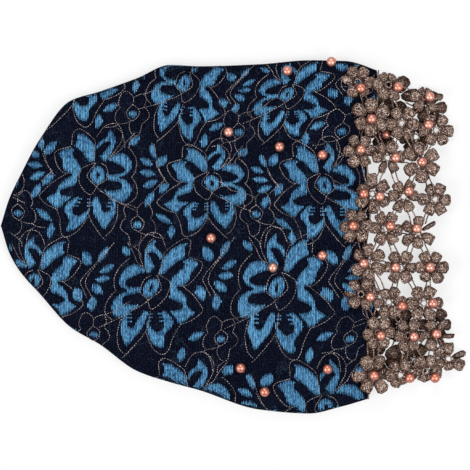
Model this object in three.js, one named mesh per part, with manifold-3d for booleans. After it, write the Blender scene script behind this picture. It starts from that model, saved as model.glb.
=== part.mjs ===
// A pull-on turban cap lying flat: a cap of stretch brocade folded double, a trim of guipure
// flowers sewn round its hem and wrapped over both side folds, and pearls sewn to both.
// Millimetres. X runs from the crown to the mouth, Y across the cap, Z up from the table.
// While the pieces are shaped, x = 0 is the hem and y = 0 the middle of the cap.
import * as THREE from 'three';
import { mergeVertices } from 'three/addons/utils/BufferGeometryUtils.js';
import Module from 'manifold-3d';

// ---- Driving dimensions ----
const CLOTH = 1.2; // brocade with its jersey backing
const GAP = 0.3; // between pieces that touch
const CROWN_TIP = 274; // from the hem to the tip of the crown
const TIP_SIDE = 6; // the tip lies this far to the left of the middle
const EDGE_LEFT = 7; // height of the rolled left fold
const EDGE_RIGHT = 4; // height of the flatter right fold
const BELLY_SHARE = 0.35; // share of a section's side that curls in to the flat belly
const HEM_LIFT = 2.3; // near the side folds the hem rides on the trim that lies beneath it
const HEM_LIFT_BACK = 46; // the lift starts this far back and is whole at the next
const HEM_LIFT_WHOLE = 20;
const HEM_LIFT_SIDE = 28; // and this far to either side, whole at the next
const HEM_LIFT_SIDE_WHOLE = 50;
const HOLLOW_SHORTER = 1.8; // how much earlier the hollow ends at the crown

const RINGS = 24; // sections from the hem to the crown
const TOP_STEPS = 20; // steps across the top of a section
const BELLY_STEPS = 14; // steps across its belly

const FLOWER_REACH = 12.2; // centre to the tip of a petal
const FLOWER_NOTCH = 8.4; // centre to the notch between two petals
const FLOWER_EYE = 2.3;
const LACE = 1.6; // thickness of the embroidery
const PETALS = 6;
const BAR_WIDTH = 2.4;
const BAR_THICKNESS = 1.2;
const BAR_ROOT = 8; // where a bar starts, from a flower's centre
const WRAP_RUN = 6; // a bar over a side fold ends this far along X from where it starts
const WRAP_END_RISE = 0.1; // its end sits this much above the middle of the flower beneath
const LINK_REACH = 34.5; // flowers of two rows closer than this are joined
const TRIM_FALL = 62; // the trim falls over this distance from the hem
const TRIM_HOVER = 7.6; // height that it keeps at its free edge, midway between the folds
const TRIM_HOVER_SIDE = 36; // it keeps it this far to either side, and by the next lies double
const TRIM_DOUBLE_SIDE = 84;
const TRIM_SIDE = 118; // past this, to either side, the trim keeps the height that it has here
const TRIM_CLEAR = 0.5; // between the trim and what it lies on
const DOUBLE_LEFT = 62; // beyond these the trim lies double
const DOUBLE_RIGHT = -54;

const PEARL = 3.5; // radius

// Outline of the flat cap and the height of its top, by the distance back from the hem
const SECTIONS = [
  { back: 0, left: 123, right: 124, rise: 15.5 },
  { back: 20, left: 130, right: 130, rise: 18.5 },
  { back: 42, left: 130.5, right: 135, rise: 21 },
  { back: 80, left: 127.5, right: 132, rise: 24 },
  { back: 125, left: 126, right: 117.5, rise: 26 },
  { back: 147, left: 127, right: 111.5, rise: 26 },
  { back: 172, left: 117, right: 103, rise: 25 },
  { back: 200, left: 107, right: 83, rise: 23 },
  { back: 222, left: 100, right: 70, rise: 21 },
  { back: 245, left: 71, right: 45, rise: 18 },
  { back: 260, left: 43, right: 28, rise: 15 },
  { back: 268, left: 26, right: 14, rise: 12 },
  { back: 274, left: 6.5, right: -5.5, rise: 8 },
];

// Soft folds and dents in the top: from one end (x, y) to the other, half width and height
const FOLDS = [
  { name: 'corner pleat', x: -226, y: 92, toX: -170, toY: 52, width: 13, height: 2.2 },
  { name: 'crown dent', x: -238, y: 20, toX: -190, toY: -8, width: 16, height: -2.6 },
  { name: 'left dent', x: -152, y: 108, toX: -104, toY: 70, width: 14, height: -2.0 },
  { name: 'crown seam', x: -262, y: 4, toX: -214, toY: -34, width: 10, height: 1.6 },
  { name: 'right ripple', x: -40, y: -104, toX: -118, toY: -74, width: 15, height: 1.8 },
  { name: 'hem slack', x: -6, y: -38, toX: -58, toY: -30, width: 16, height: -1.8 },
  { name: 'hem swell', x: -6, y: 44, toX: -62, toY: 36, width: 18, height: 1.6 },
];

// Rows of trim flowers, left to right across the mouth: the flower sewn to the hem, the middle
// one and the free one
const TOP_ROWS = [
  { near: [-6, 114], middle: [17, 112], far: [45, 103] },
  { near: [2, 87], middle: [27, 83], far: [53, 78] },
  { near: [-5, 62], middle: [16, 57], far: [41, 54] },
  { near: [2, 30], middle: [28, 28], far: [52, 26] },
  { near: [-8, 6], middle: [15, 4], far: [39, 1] },
  { near: [-1, -21], middle: [26, -25], far: [49, -25] },
  { near: [-4, -45], middle: [17, -51], far: [41, -52] },
  { near: [9, -74], middle: [32, -76], far: [53, -76] },
  { near: [5, -103], middle: [26, -106], far: [45, -103] },
];

// Rows that have wrapped over a fold and lie beneath, from the fold inwards
const UNDER_LEFT = [
  { near: [2, 106], middle: [25, 104], far: [48, 95] },
  { near: [-6, 79], middle: [14, 77], far: [38, 73] },
];
const UNDER_RIGHT = [
  { near: [12, -94], middle: [37, -95], far: [65, -94] },
  { near: [2, -68], middle: [26, -69], far: [52, -68] },
];

// Pearls on the cloth and on the trim
const CLOTH_PEARLS = [
  { x: -59, y: 122 },
  { x: -26, y: 129 },
  { x: -103, y: 76 },
  { x: -65, y: 65 },
  { x: -33, y: 59 },
  { x: -116, y: -3 },
  { x: -70, y: -25 },
  { x: -33, y: -16 },
  { x: -94, y: -100 },
  { x: -29, y: -101 },
  { x: -76, y: -118 },
];
const TRIM_PEARLS = [
  { x: -4, y: 109 },
  { x: 24, y: 110 },
  { x: 48, y: 103 },
  { x: 4, y: 86 },
  { x: 15, y: 75 },
  { x: 47, y: 82 },
  { x: -4, y: 63 },
  { x: 22, y: 57 },
  { x: 42, y: 54 },
  { x: -2, y: 30 },
  { x: 10, y: 28 },
  { x: 32, y: 32 },
  { x: -10, y: 6 },
  { x: 18, y: 6 },
  { x: 38, y: 4 },
  { x: -2, y: -22 },
  { x: 22, y: -25 },
  { x: 48, y: -25 },
  { x: 3, y: -47 },
  { x: 27, y: -54 },
  { x: 50, y: -52 },
  { x: 11, y: -76 },
  { x: 36, y: -77 },
  { x: 53, y: -75 },
  { x: 6, y: -106 },
  { x: 33, y: -108 },
  { x: 52, y: -108 },
];

const brocade = new THREE.MeshStandardMaterial({ color: 0x1d2740, roughness: 0.75, metalness: 0 });
const metallicThread = new THREE.MeshStandardMaterial({ color: 0x7d6b5d, roughness: 0.5, metalness: 0.4 });
const copperPearl = new THREE.MeshStandardMaterial({ color: 0xd9765a, roughness: 0.25, metalness: 0.2 });

// ---- Curves through the tables ----

// A monotone cubic through one column of a table whose rows are sorted by `back`
function columnCurve(rows, column) {
  const slopes = rows.map((row, i) => {
    if (i === 0 || i === rows.length - 1) return null;
    const before = (row[column] - rows[i - 1][column]) / (row.back - rows[i - 1].back);
    const after = (rows[i + 1][column] - row[column]) / (rows[i + 1].back - row.back);
    return before * after <= 0 ? 0 : (2 * before * after) / (before + after);
  });
  const chord = (i) => (rows[i + 1][column] - rows[i][column]) / (rows[i + 1].back - rows[i].back);
  slopes[0] = chord(0);
  slopes[rows.length - 1] = chord(rows.length - 2);
  return (back) => {
    const at = THREE.MathUtils.clamp(back, rows[0].back, rows[rows.length - 1].back);
    let i = 0;
    while (i < rows.length - 2 && rows[i + 1].back < at) i += 1;
    const step = rows[i + 1].back - rows[i].back;
    const t = (at - rows[i].back) / step;
    const ends = rows[i][column] * (1 + 2 * t) * (1 - t) ** 2 + rows[i + 1][column] * t ** 2 * (3 - 2 * t);
    return ends + step * (slopes[i] * t * (1 - t) ** 2 + slopes[i + 1] * t ** 2 * (t - 1));
  };
}

const leftAt = columnCurve(SECTIONS, 'left');
const rightAt = columnCurve(SECTIONS, 'right');
const riseAt = columnCurve(SECTIONS, 'rise');

// ---- Cap ----

// The height that the folds add at (x, y)
function foldHeight(x, y) {
  let height = 0;
  for (const fold of FOLDS) {
    const run = new THREE.Vector2(fold.toX - fold.x, fold.toY - fold.y);
    const length = run.length();
    run.divideScalar(length);
    const from = new THREE.Vector2(x - fold.x, y - fold.y);
    const along = THREE.MathUtils.clamp(from.dot(run), 0, length);
    const away = from.addScaledVector(run, -along).length();
    height += fold.height * Math.exp(-((away / fold.width) ** 2));
  }
  return height;
}

// A section of the cap: its middle, its half width, and the height of its side at s from -1 to 1
function sectionAt(back, inset) {
  const left = leftAt(back) - inset;
  const right = rightAt(back) - inset;
  return { middle: (left - right) / 2, half: (left + right) / 2, rise: riseAt(back) };
}

function sideHeight(s) {
  return THREE.MathUtils.lerp(EDGE_RIGHT, EDGE_LEFT, (s + 1) / 2);
}

// Top of a section at s: a half ellipse above the side, with the folds fading out at the edges
function topHeight(section, back, s, inset) {
  const arch = Math.sqrt(Math.max(0, 1 - s * s));
  const y = section.middle + s * section.half;
  const side = sideHeight(s);
  return side + (section.rise - inset - side + foldHeight(-back, y)) * arch;
}

// Belly of a section at s: flat, curling up to the side over the outer share
function bellyHeight(section, back, s, inset) {
  const arch = Math.sqrt(Math.max(0, 1 - s * s));
  const curl = Math.min(1, arch / BELLY_SHARE);
  const side = Math.abs(section.middle + s * section.half);
  const nearHem = 1 - THREE.MathUtils.smoothstep(back, HEM_LIFT_WHOLE, HEM_LIFT_BACK);
  const nearSide = THREE.MathUtils.smoothstep(side, HEM_LIFT_SIDE, HEM_LIFT_SIDE_WHOLE);
  const base = HEM_LIFT * nearHem * nearSide + inset;
  return base + (sideHeight(s) - base) * (1 - Math.sin((curl * Math.PI) / 2));
}

// One closed ring of points round the cap at a section, from the left side over the top
function capRing(back, x, inset) {
  const section = sectionAt(back, inset);
  const points = [];
  const put = (s, z) => points.push([x, section.middle + s * section.half, z]);
  for (let i = 0; i < TOP_STEPS; i += 1) {
    const t = i / TOP_STEPS;
    const s = (Math.cos(Math.PI * t) + 1 - 2 * t) / 2;
    put(s, topHeight(section, back, s, inset));
  }
  for (let i = 0; i < BELLY_STEPS; i += 1) {
    const s = -Math.cos((Math.PI * i) / BELLY_STEPS);
    put(s, bellyHeight(section, back, s, inset));
  }
  return points;
}

// Outer and inner faces joined round the hem, each closed at the crown by a point
function capGeometry() {
  const positions = [];
  const triangles = [];
  const round = TOP_STEPS + BELLY_STEPS;
  const face = (inset, shorten, flip) => {
    const first = positions.length / 3;
    for (let ring = 0; ring < RINGS; ring += 1) {
      const t = ring / RINGS;
      const back = CROWN_TIP * Math.sin((t * Math.PI) / 2) ** 1.15;
      const x = -back * (1 - shorten / CROWN_TIP);
      positions.push(...capRing(back, x, inset).flat());
    }
    positions.push(shorten - CROWN_TIP, TIP_SIDE, (EDGE_LEFT + EDGE_RIGHT) / 2);
    const tip = first + RINGS * round;
    const add = (a, b, c) => triangles.push(...(flip ? [a, c, b] : [a, b, c]));
    for (let ring = 0; ring < RINGS; ring += 1) {
      for (let i = 0; i < round; i += 1) {
        const a = first + ring * round + i;
        const b = first + ring * round + ((i + 1) % round);
        if (ring === RINGS - 1) {
          add(a, tip, b);
        } else {
          add(a, a + round, b + round);
          add(a, b + round, b);
        }
      }
    }
    return first;
  };
  const outer = face(0, 0, false);
  const inner = face(CLOTH, HOLLOW_SHORTER, true);
  for (let i = 0; i < round; i += 1) {
    const next = (i + 1) % round;
    triangles.push(outer + i, inner + next, inner + i);
    triangles.push(outer + i, outer + next, inner + next);
  }
  const geometry = new THREE.BufferGeometry();
  geometry.setAttribute('position', new THREE.Float32BufferAttribute(positions, 3));
  geometry.setIndex(triangles);
  return geometry;
}

const brocadeCap = new THREE.Mesh(capGeometry(), brocade);
const plumb = new THREE.Raycaster();
const PLUMB_START = 100;

// Height of the cloth's upper face at (x, y), found by a plumb line, or 0 beyond its outline
function clothTop(x, y) {
  plumb.set(new THREE.Vector3(x, y, PLUMB_START), new THREE.Vector3(0, 0, -1));
  const [first] = plumb.intersectObject(brocadeCap);
  return first ? first.point.z : 0;
}

// ---- Trim ----

// Middle plane of the top layer: from the hem it falls towards the table, or on to the layer beneath
function trimHeight(x, y) {
  const half = LACE / 2 + TRIM_CLEAR;
  const inward = THREE.MathUtils.clamp(y, -TRIM_SIDE, TRIM_SIDE);
  if (x <= 0) return clothTop(x, inward) + half;
  const hem = clothTop(0, inward) + half;
  const outward = THREE.MathUtils.smoothstep(Math.abs(y), TRIM_HOVER_SIDE, TRIM_DOUBLE_SIDE);
  const rest = THREE.MathUtils.lerp(TRIM_HOVER, LACE * 1.5 + TRIM_CLEAR, outward);
  const t = Math.min(1, x / TRIM_FALL);
  return rest + (hem - rest) * (1 - t) ** 1.5;
}

// What the top layer lies on beyond the hem: the table, or the rows beneath near the folds
function tableHeight(y) {
  return y > DOUBLE_LEFT || y < DOUBLE_RIGHT ? LACE + TRIM_CLEAR : 0;
}

const flowerShape = new THREE.Shape();
const shoulder = (Math.PI / PETALS) * 0.5;
for (let petal = 0; petal < PETALS; petal += 1) {
  const turn = (petal * 2 * Math.PI) / PETALS;
  const notch = turn - Math.PI / PETALS;
  const corners = [
    [notch, FLOWER_NOTCH],
    [turn - shoulder, FLOWER_REACH],
    [turn + shoulder, FLOWER_REACH],
  ];
  for (const [angle, reach] of corners) {
    const x = reach * Math.cos(angle);
    const y = reach * Math.sin(angle);
    if (petal === 0 && angle === notch) flowerShape.moveTo(x, y);
    else flowerShape.lineTo(x, y);
  }
}
flowerShape.closePath();
const eye = new THREE.Path();
eye.absarc(0, 0, FLOWER_EYE, 0, 2 * Math.PI, true);
flowerShape.holes.push(eye);

// A flower lies on the plane that touches the trim's surface, raised clear of what is under it
function placeFlower(x, y, beneath) {
  const frame = new THREE.Matrix4();
  if (beneath) {
    frame.makeTranslation(x, y, LACE / 2);
    return { frame, beneath };
  }
  const span = 6;
  const slopeX = (trimHeight(x + span, y) - trimHeight(x - span, y)) / (2 * span);
  const slopeY = (trimHeight(x, y + span) - trimHeight(x, y - span)) / (2 * span);
  const alongX = new THREE.Vector3(1, 0, slopeX).normalize();
  const up = new THREE.Vector3(-slopeX, -slopeY, 1).normalize();
  const alongY = new THREE.Vector3().crossVectors(up, alongX);
  frame.makeBasis(alongX, alongY, up);
  frame.setPosition(x, y, trimHeight(x, y));
  let raise = 0;
  for (const point of flowerPoints(-LACE / 2)) {
    point.applyMatrix4(frame);
    const ground = Math.max(tableHeight(point.y) - TRIM_CLEAR + GAP, clothTop(point.x, point.y) + GAP);
    raise = Math.max(raise, ground - point.z);
  }
  frame.setPosition(x, y, trimHeight(x, y) + raise);
  return { frame, beneath };
}

// Points all over one face of a flower, in its own plane
function flowerPoints(z) {
  const points = [];
  for (let turn = 0; turn < 36; turn += 1) {
    const angle = (turn * Math.PI) / 18;
    const notched = Math.abs(Math.cos((angle * PETALS) / 2)) ** 0.6;
    const reach = THREE.MathUtils.lerp(FLOWER_NOTCH, FLOWER_REACH, notched);
    for (const share of [0.25, 0.5, 0.75, 1]) {
      const r = reach * share;
      points.push(new THREE.Vector3(r * Math.cos(angle), r * Math.sin(angle), z));
    }
  }
  return points;
}

const wasm = await Module();
wasm.setup();

function toSolid(geometry) {
  const bare = geometry.clone();
  bare.deleteAttribute('normal');
  bare.deleteAttribute('uv');
  const merged = mergeVertices(bare, 1e-5);
  return new wasm.Manifold(
    new wasm.Mesh({
      numProp: 3,
      vertProperties: new Float32Array(merged.attributes.position.array),
      triVerts: new Uint32Array(merged.index.array),
    }),
  );
}

function toGeometry(solid) {
  const mesh = solid.getMesh();
  const geometry = new THREE.BufferGeometry();
  geometry.setAttribute('position', new THREE.BufferAttribute(new Float32Array(mesh.vertProperties), 3));
  geometry.setIndex(new THREE.BufferAttribute(new Uint32Array(mesh.triVerts), 1));
  return geometry;
}

function flowerSolid(flower) {
  const blank = new THREE.ExtrudeGeometry(flowerShape, { depth: LACE, bevelEnabled: false, curveSegments: 3 });
  blank.translate(0, 0, -LACE / 2);
  return toSolid(blank.applyMatrix4(flower.frame));
}

// A bar of thread between two points, its upper face turned to `up`
function barSolid(from, to, up, width) {
  const along = new THREE.Vector3().subVectors(to, from);
  const length = along.length();
  along.normalize();
  const across = new THREE.Vector3().crossVectors(up, along).normalize();
  const top = new THREE.Vector3().crossVectors(along, across);
  const frame = new THREE.Matrix4().makeBasis(along, across, top);
  frame.setPosition(new THREE.Vector3().lerpVectors(from, to, 0.5));
  return toSolid(new THREE.BoxGeometry(length, width, BAR_THICKNESS).applyMatrix4(frame));
}

// The point of a flower's middle plane over (x, y)
function onFlower(flower, x, y) {
  const e = flower.frame.elements;
  const z = e[14] - (e[8] * (x - e[12]) + e[9] * (y - e[13])) / e[10];
  return new THREE.Vector3(x, y, z);
}

function upOf(flower) {
  return new THREE.Vector3().setFromMatrixColumn(flower.frame, 2);
}

// The bar between two neighbouring flowers, starting and ending inside a petal
function linkBar(a, b) {
  const from = new THREE.Vector3().setFromMatrixPosition(a.frame);
  const to = new THREE.Vector3().setFromMatrixPosition(b.frame);
  const run = new THREE.Vector2(to.x - from.x, to.y - from.y).setLength(BAR_ROOT);
  return barSolid(
    onFlower(a, from.x + run.x, from.y + run.y),
    onFlower(b, to.x - run.x, to.y - run.y),
    upOf(a),
    BAR_WIDTH,
  );
}

// A bar that wraps over a side fold, from a top flower's outer petal to the flower beneath
function wrapBar(top, under, side) {
  const from = new THREE.Vector3().setFromMatrixPosition(top.frame);
  const to = new THREE.Vector3().setFromMatrixPosition(under.frame);
  const middle = (from.x + to.x) / 2;
  const start = onFlower(top, middle + WRAP_RUN / 2, from.y + side * BAR_ROOT);
  const end = onFlower(under, middle - WRAP_RUN / 2, to.y + side * BAR_ROOT);
  end.z += WRAP_END_RISE;
  return barSolid(start, end, new THREE.Vector3(0, side, 1), BAR_THICKNESS);
}

const PLACES = ['near', 'middle', 'far'];

function placeRows(rows, beneath) {
  return rows.map((row) => PLACES.map((place) => placeFlower(...row[place], beneath)));
}

function gapBetween(a, b) {
  return Math.hypot(a.frame.elements[12] - b.frame.elements[12], a.frame.elements[13] - b.frame.elements[13]);
}

// All the solids of one layer: its flowers, the bars along each row and those between rows
function layerSolids(rows) {
  const solids = rows.flat().map(flowerSolid);
  rows.forEach((row, i) => {
    for (let j = 0; j + 1 < row.length; j += 1) {
      solids.push(linkBar(row[j], row[j + 1]));
    }
    if (i + 1 === rows.length) return;
    for (const a of row) {
      for (const b of rows[i + 1]) {
        if (gapBetween(a, b) < LINK_REACH) solids.push(linkBar(a, b));
      }
    }
  });
  return solids;
}

const topRows = placeRows(TOP_ROWS, false);
const underLeft = placeRows(UNDER_LEFT, true);
const underRight = placeRows(UNDER_RIGHT, true);

function trimGeometry() {
  const solids = [...layerSolids(topRows), ...layerSolids(underLeft), ...layerSolids(underRight)];
  const lastRow = topRows[topRows.length - 1];
  for (const place of [1, 2]) {
    solids.push(wrapBar(topRows[0][place], underLeft[0][place], 1));
    solids.push(wrapBar(lastRow[place], underRight[0][place], -1));
  }
  return toGeometry(solids.reduce((joined, solid) => joined.add(solid)));
}

// ---- Pearls ----

const petalTops = [...topRows, ...underLeft, ...underRight].flat().flatMap((flower) =>
  flowerPoints(LACE / 2).map((point) => point.applyMatrix4(flower.frame)),
);

function clothPointsRound(x, y) {
  const points = [];
  const step = PEARL / 6;
  for (let dx = -PEARL; dx <= PEARL; dx += step) {
    for (let dy = -PEARL; dy <= PEARL; dy += step) {
      points.push(new THREE.Vector3(x + dx, y + dy, clothTop(x + dx, y + dy)));
    }
  }
  return points;
}

// A pearl comes straight down over (x, y) until it is the gap away from what carries it
function pearlHeight(x, y) {
  const clear = PEARL + GAP;
  let height = clear;
  for (const point of [...petalTops, ...clothPointsRound(x, y)]) {
    const away = Math.hypot(point.x - x, point.y - y);
    if (away < clear) height = Math.max(height, point.z + Math.sqrt(clear * clear - away * away));
  }
  return height;
}

// ---- The assembly ----

const turban = new THREE.Group();
turban.name = 'turban';

function addPiece(name, geometry, material) {
  const piece = new THREE.Mesh(geometry, material);
  piece.name = name;
  turban.add(piece);
  return piece;
}

addPiece('cap_body', brocadeCap.geometry, brocade);
addPiece('lace_trim', trimGeometry(), metallicThread);

const pearlGeometry = new THREE.IcosahedronGeometry(PEARL, 1);
function addPearls(prefix, places) {
  places.forEach(({ x, y }, i) => {
    const number = String(i + 1).padStart(2, '0');
    const pearl = addPiece(`${prefix}_${number}`, pearlGeometry, copperPearl);
    pearl.position.set(x, y, pearlHeight(x, y));
  });
}
addPearls('pearl_cloth', CLOTH_PEARLS);
addPearls('pearl_trim', TRIM_PEARLS);

// The origin is the middle of the underside of the whole, on the table
turban.updateMatrixWorld(true);
const bounds = new THREE.Box3().setFromObject(turban);
turban.position.set(-(bounds.min.x + bounds.max.x) / 2, -(bounds.min.y + bounds.max.y) / 2, -bounds.min.z);

export default turban;
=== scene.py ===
"""A pull-on turban cap lying flat: brocade cloth, guipure flower trim and sewn pearls."""

import functools
import math
from collections import namedtuple

import bpy
import numpy as np
from bpy.props import FloatProperty, FloatVectorProperty, PointerProperty
from bpy.types import Operator, Panel, PropertyGroup
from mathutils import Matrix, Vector
from mathutils.bvhtree import BVHTree


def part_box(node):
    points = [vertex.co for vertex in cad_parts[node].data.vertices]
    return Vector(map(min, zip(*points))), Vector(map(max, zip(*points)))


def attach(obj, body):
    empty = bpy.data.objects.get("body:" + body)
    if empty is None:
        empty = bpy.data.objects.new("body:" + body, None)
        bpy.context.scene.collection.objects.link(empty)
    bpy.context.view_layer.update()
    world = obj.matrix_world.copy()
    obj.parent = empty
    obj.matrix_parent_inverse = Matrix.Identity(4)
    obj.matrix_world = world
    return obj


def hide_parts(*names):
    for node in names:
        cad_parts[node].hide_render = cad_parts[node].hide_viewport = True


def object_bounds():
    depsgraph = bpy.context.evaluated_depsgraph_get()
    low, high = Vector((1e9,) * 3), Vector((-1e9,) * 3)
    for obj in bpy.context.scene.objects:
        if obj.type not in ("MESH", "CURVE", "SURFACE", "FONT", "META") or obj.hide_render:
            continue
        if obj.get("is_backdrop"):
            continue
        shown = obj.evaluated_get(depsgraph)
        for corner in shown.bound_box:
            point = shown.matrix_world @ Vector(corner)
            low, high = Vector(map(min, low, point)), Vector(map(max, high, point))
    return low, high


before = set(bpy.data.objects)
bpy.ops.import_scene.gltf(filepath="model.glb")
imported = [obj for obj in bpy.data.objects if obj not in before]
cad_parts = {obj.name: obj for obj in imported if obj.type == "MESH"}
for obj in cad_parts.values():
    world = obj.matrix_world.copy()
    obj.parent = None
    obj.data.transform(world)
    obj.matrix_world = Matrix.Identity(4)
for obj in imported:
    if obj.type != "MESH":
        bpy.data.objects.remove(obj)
cad_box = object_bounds()

bl_info = {
    "name": "Turban cap",
    "version": (1, 0, 0),
    "blender": (4, 5, 0),
    "location": "3D View > Sidebar > Turban",
    "description": "Builds the cloth, woven pattern, trim and pearls of a turban cap on its frame",
    "category": "Add Mesh",
}

MM = 0.001

# ---- Places: x = 0 is the hem and y = 0 the middle of the cap, in millimetres ----

# The cap's outline and the height of its top: distance back from the hem, left, right, rise
SECTIONS = np.array(
    [(0, 123, 124, 15.5), (20, 130, 130, 18.5), (42, 130.5, 135, 21), (80, 127.5, 132, 24)]
    + [(125, 126, 117.5, 26), (147, 127, 111.5, 26), (172, 117, 103, 25), (200, 107, 83, 23)]
    + [(222, 100, 70, 21), (245, 71, 45, 18), (260, 43, 28, 15), (268, 26, 14, 12), (274, 6.5, -5.5, 8)]
)
CROWN_TIP = 274
EDGE_LEFT = 7  # heights of the two side folds
EDGE_RIGHT = 4
BELLY_SHARE = 0.35  # the part of the arch over which the belly curls up to the side folds
# How high the hem's sides lie off the table, the distances back over which that fades, and those
# from y = 0 over which it begins
HEM_LIFT = 2.3
HEM_LIFT_BACK = (20, 46)
HEM_LIFT_SIDE = (28, 50)
BELLY_REST = 0.5  # the belly lies on its own raised weave
# How far the hem's edge wanders out towards the trim, by y, and how far back the cloth follows it
HEM_WAVE = np.array(
    [(-140, 2), (-85, 0), (-50, 6.5), (-10, -0.5), (12, 1.5), (60, 0), (100, 8), (140, 8)], float
)
HEM_FOLLOWS = 40
SLACK = 0.45  # the height of the longest wave in the slack cloth

# Soft folds and dents in the top: x, y, to x, to y, half width, height
FOLDS = [
    (-226, 92, -170, 52, 13, 2.2),
    (-238, 20, -190, -8, 16, -2.6),
    (-152, 108, -104, 70, 14, -2.0),
    (-262, 4, -214, -34, 10, 1.6),
    (-40, -104, -118, -74, 15, 1.8),
    (-6, -38, -58, -30, 16, -1.8),
    (-6, 44, -62, 36, 18, 1.6),
]

# Trim flowers: rows across the mouth, each with the one sewn to the hem, the middle and the free one
TOP_ROWS = [
    [(-6, 114), (17, 112), (45, 103)],
    [(2, 87), (27, 83), (53, 78)],
    [(-5, 62), (16, 57), (41, 54)],
    [(2, 30), (28, 28), (52, 26)],
    [(-8, 6), (15, 4), (39, 1)],
    [(-1, -21), (26, -25), (49, -25)],
    [(-4, -45), (17, -51), (41, -52)],
    [(9, -74), (32, -76), (53, -76)],
    [(5, -105.5), (26, -106), (45, -103)],
]
UNDER_LEFT = [[(2, 106), (25, 104), (48, 95)], [(-6, 79), (14, 77), (38, 73)]]
UNDER_RIGHT = [[(12, -94), (37, -95), (62.5, -94)], [(2, -68), (26, -69), (52, -68)]]
LAYERS = {"top": TOP_ROWS, "left": UNDER_LEFT, "right": UNDER_RIGHT}
LINK_REACH = 34.5  # flowers of neighbouring rows are joined if they lie no further apart
PEARL_PLACE = (-4, 109)  # of the node pearl_trim_01, which ties these places to the frame


def frame_shift():
    """From the places above to the frame: where the first trim pearl's node is, less its place."""
    low, high = np.array(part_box("pearl_trim_01")) / MM
    return np.append((low + high)[:2] / 2 - PEARL_PLACE, 0.0)


SHIFT = frame_shift()


def to_frame(points):
    """Millimetre places as metres in the frame."""
    return (np.asarray(points, float) + SHIFT) * MM


# ---- The cap's surface ----


def smoothstep(value, low, high):
    t = np.clip((value - low) / (high - low), 0, 1)
    return t * t * (3 - 2 * t)


def column_curve(column, back):
    """A monotone cubic through one column: on each stretch the Hermite blend of its end values and
    slopes, where an inner slope is the harmonic mean of the two chords, or 0 if they disagree."""
    at, value = SECTIONS[:, 0], SECTIONS[:, column]
    step = np.diff(at)
    chord = np.diff(value) / step
    both = chord[:-1] * chord[1:]
    inner = np.where(both > 0, 2 * both / (chord[:-1] + chord[1:] + 1e-12), 0)
    slope = np.concatenate([chord[:1], inner, chord[-1:]])
    back = np.clip(back, at[0], at[-1])
    i = np.clip(np.searchsorted(at, back, side="right") - 1, 0, len(at) - 2)
    t = (back - at[i]) / step[i]
    ends = value[i] * (1 + 2 * t) * (1 - t) ** 2 + value[i + 1] * t**2 * (3 - 2 * t)
    return ends + step[i] * (slope[i] * t * (1 - t) ** 2 + slope[i + 1] * t**2 * (t - 1))


def fold_height(x, y):
    """Each fold adds its height times a bell curve of the distance from its line."""
    height = np.zeros(np.broadcast(x, y).shape)
    for from_x, from_y, to_x, to_y, width, rise in FOLDS:
        run = np.array([to_x - from_x, to_y - from_y], float)
        length = np.hypot(*run)
        run /= length
        along = np.clip((x - from_x) * run[0] + (y - from_y) * run[1], 0, length)
        away = np.hypot(x - from_x - along * run[0], y - from_y - along * run[1])
        height = height + rise * np.exp(-((away / width) ** 2))
    return height


def slack(x, y):
    """The slight uneven lie of soft cloth: three long crossing waves, the second two thirds and the
    third one third as high as the first."""
    first = np.sin(x / 19 + y / 41) * np.cos(y / 23 - 0.6)
    return SLACK * (first + np.sin(x / 11 - y / 14 + 1.0) * 2 / 3 + np.sin(x / 6.3 + y / 8.1) / 3)


def hem_wave(y):
    """The hem's wandering: between two rows of its table half a wave of a cosine."""
    at, value = HEM_WAVE.T
    y = np.clip(y, at[0], at[-1])
    i = np.clip(np.searchsorted(at, y, side="right") - 1, 0, len(at) - 2)
    t = smoothstep(y, at[i], at[i + 1])
    return value[i] * (1 - t) + value[i + 1] * t


def cap_point(back, a, inset=0.0):
    """The cap's surface at a distance back from the hem and a from -1 to 1 round the section: 0 is
    the middle of the top, 0.5 the left fold, -0.5 the right fold and 1 and -1 the middle of the belly.
    The top is a half ellipse with the folds added; the belly is flat and curls up to the sides."""
    back, a = np.broadcast_arrays(np.asarray(back, float), np.asarray(a, float))
    left = column_curve(1, back) - inset
    right = column_curve(2, back) - inset
    rise = column_curve(3, back) - inset
    middle, half = (left - right) / 2, (left + right) / 2
    ramp = np.where(np.abs(a) <= 0.5, 2 * a, np.sign(a) * (2 - 2 * np.abs(a)))
    s = (np.sin(np.pi * a) + ramp) / 2
    arch = np.sqrt(np.clip(1 - s * s, 0, 1))
    y = middle + s * half
    side = EDGE_RIGHT + (EDGE_LEFT - EDGE_RIGHT) * (s + 1) / 2
    top = side + (rise - side + fold_height(-back, y) + slack(-back, y)) * arch
    lift = HEM_LIFT * (1 - smoothstep(back, *HEM_LIFT_BACK)) * smoothstep(np.abs(y), *HEM_LIFT_SIDE)
    base = lift + inset + BELLY_REST
    curl = np.sin(np.minimum(1, arch / BELLY_SHARE) * np.pi / 2)
    belly = base + (side - base) * (1 - curl)
    wave = hem_wave(y) * (1 - smoothstep(back, 0, HEM_FOLLOWS))
    return np.stack([wave - back, y, np.where(np.abs(a) <= 0.5, top, belly)], axis=-1)


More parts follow.
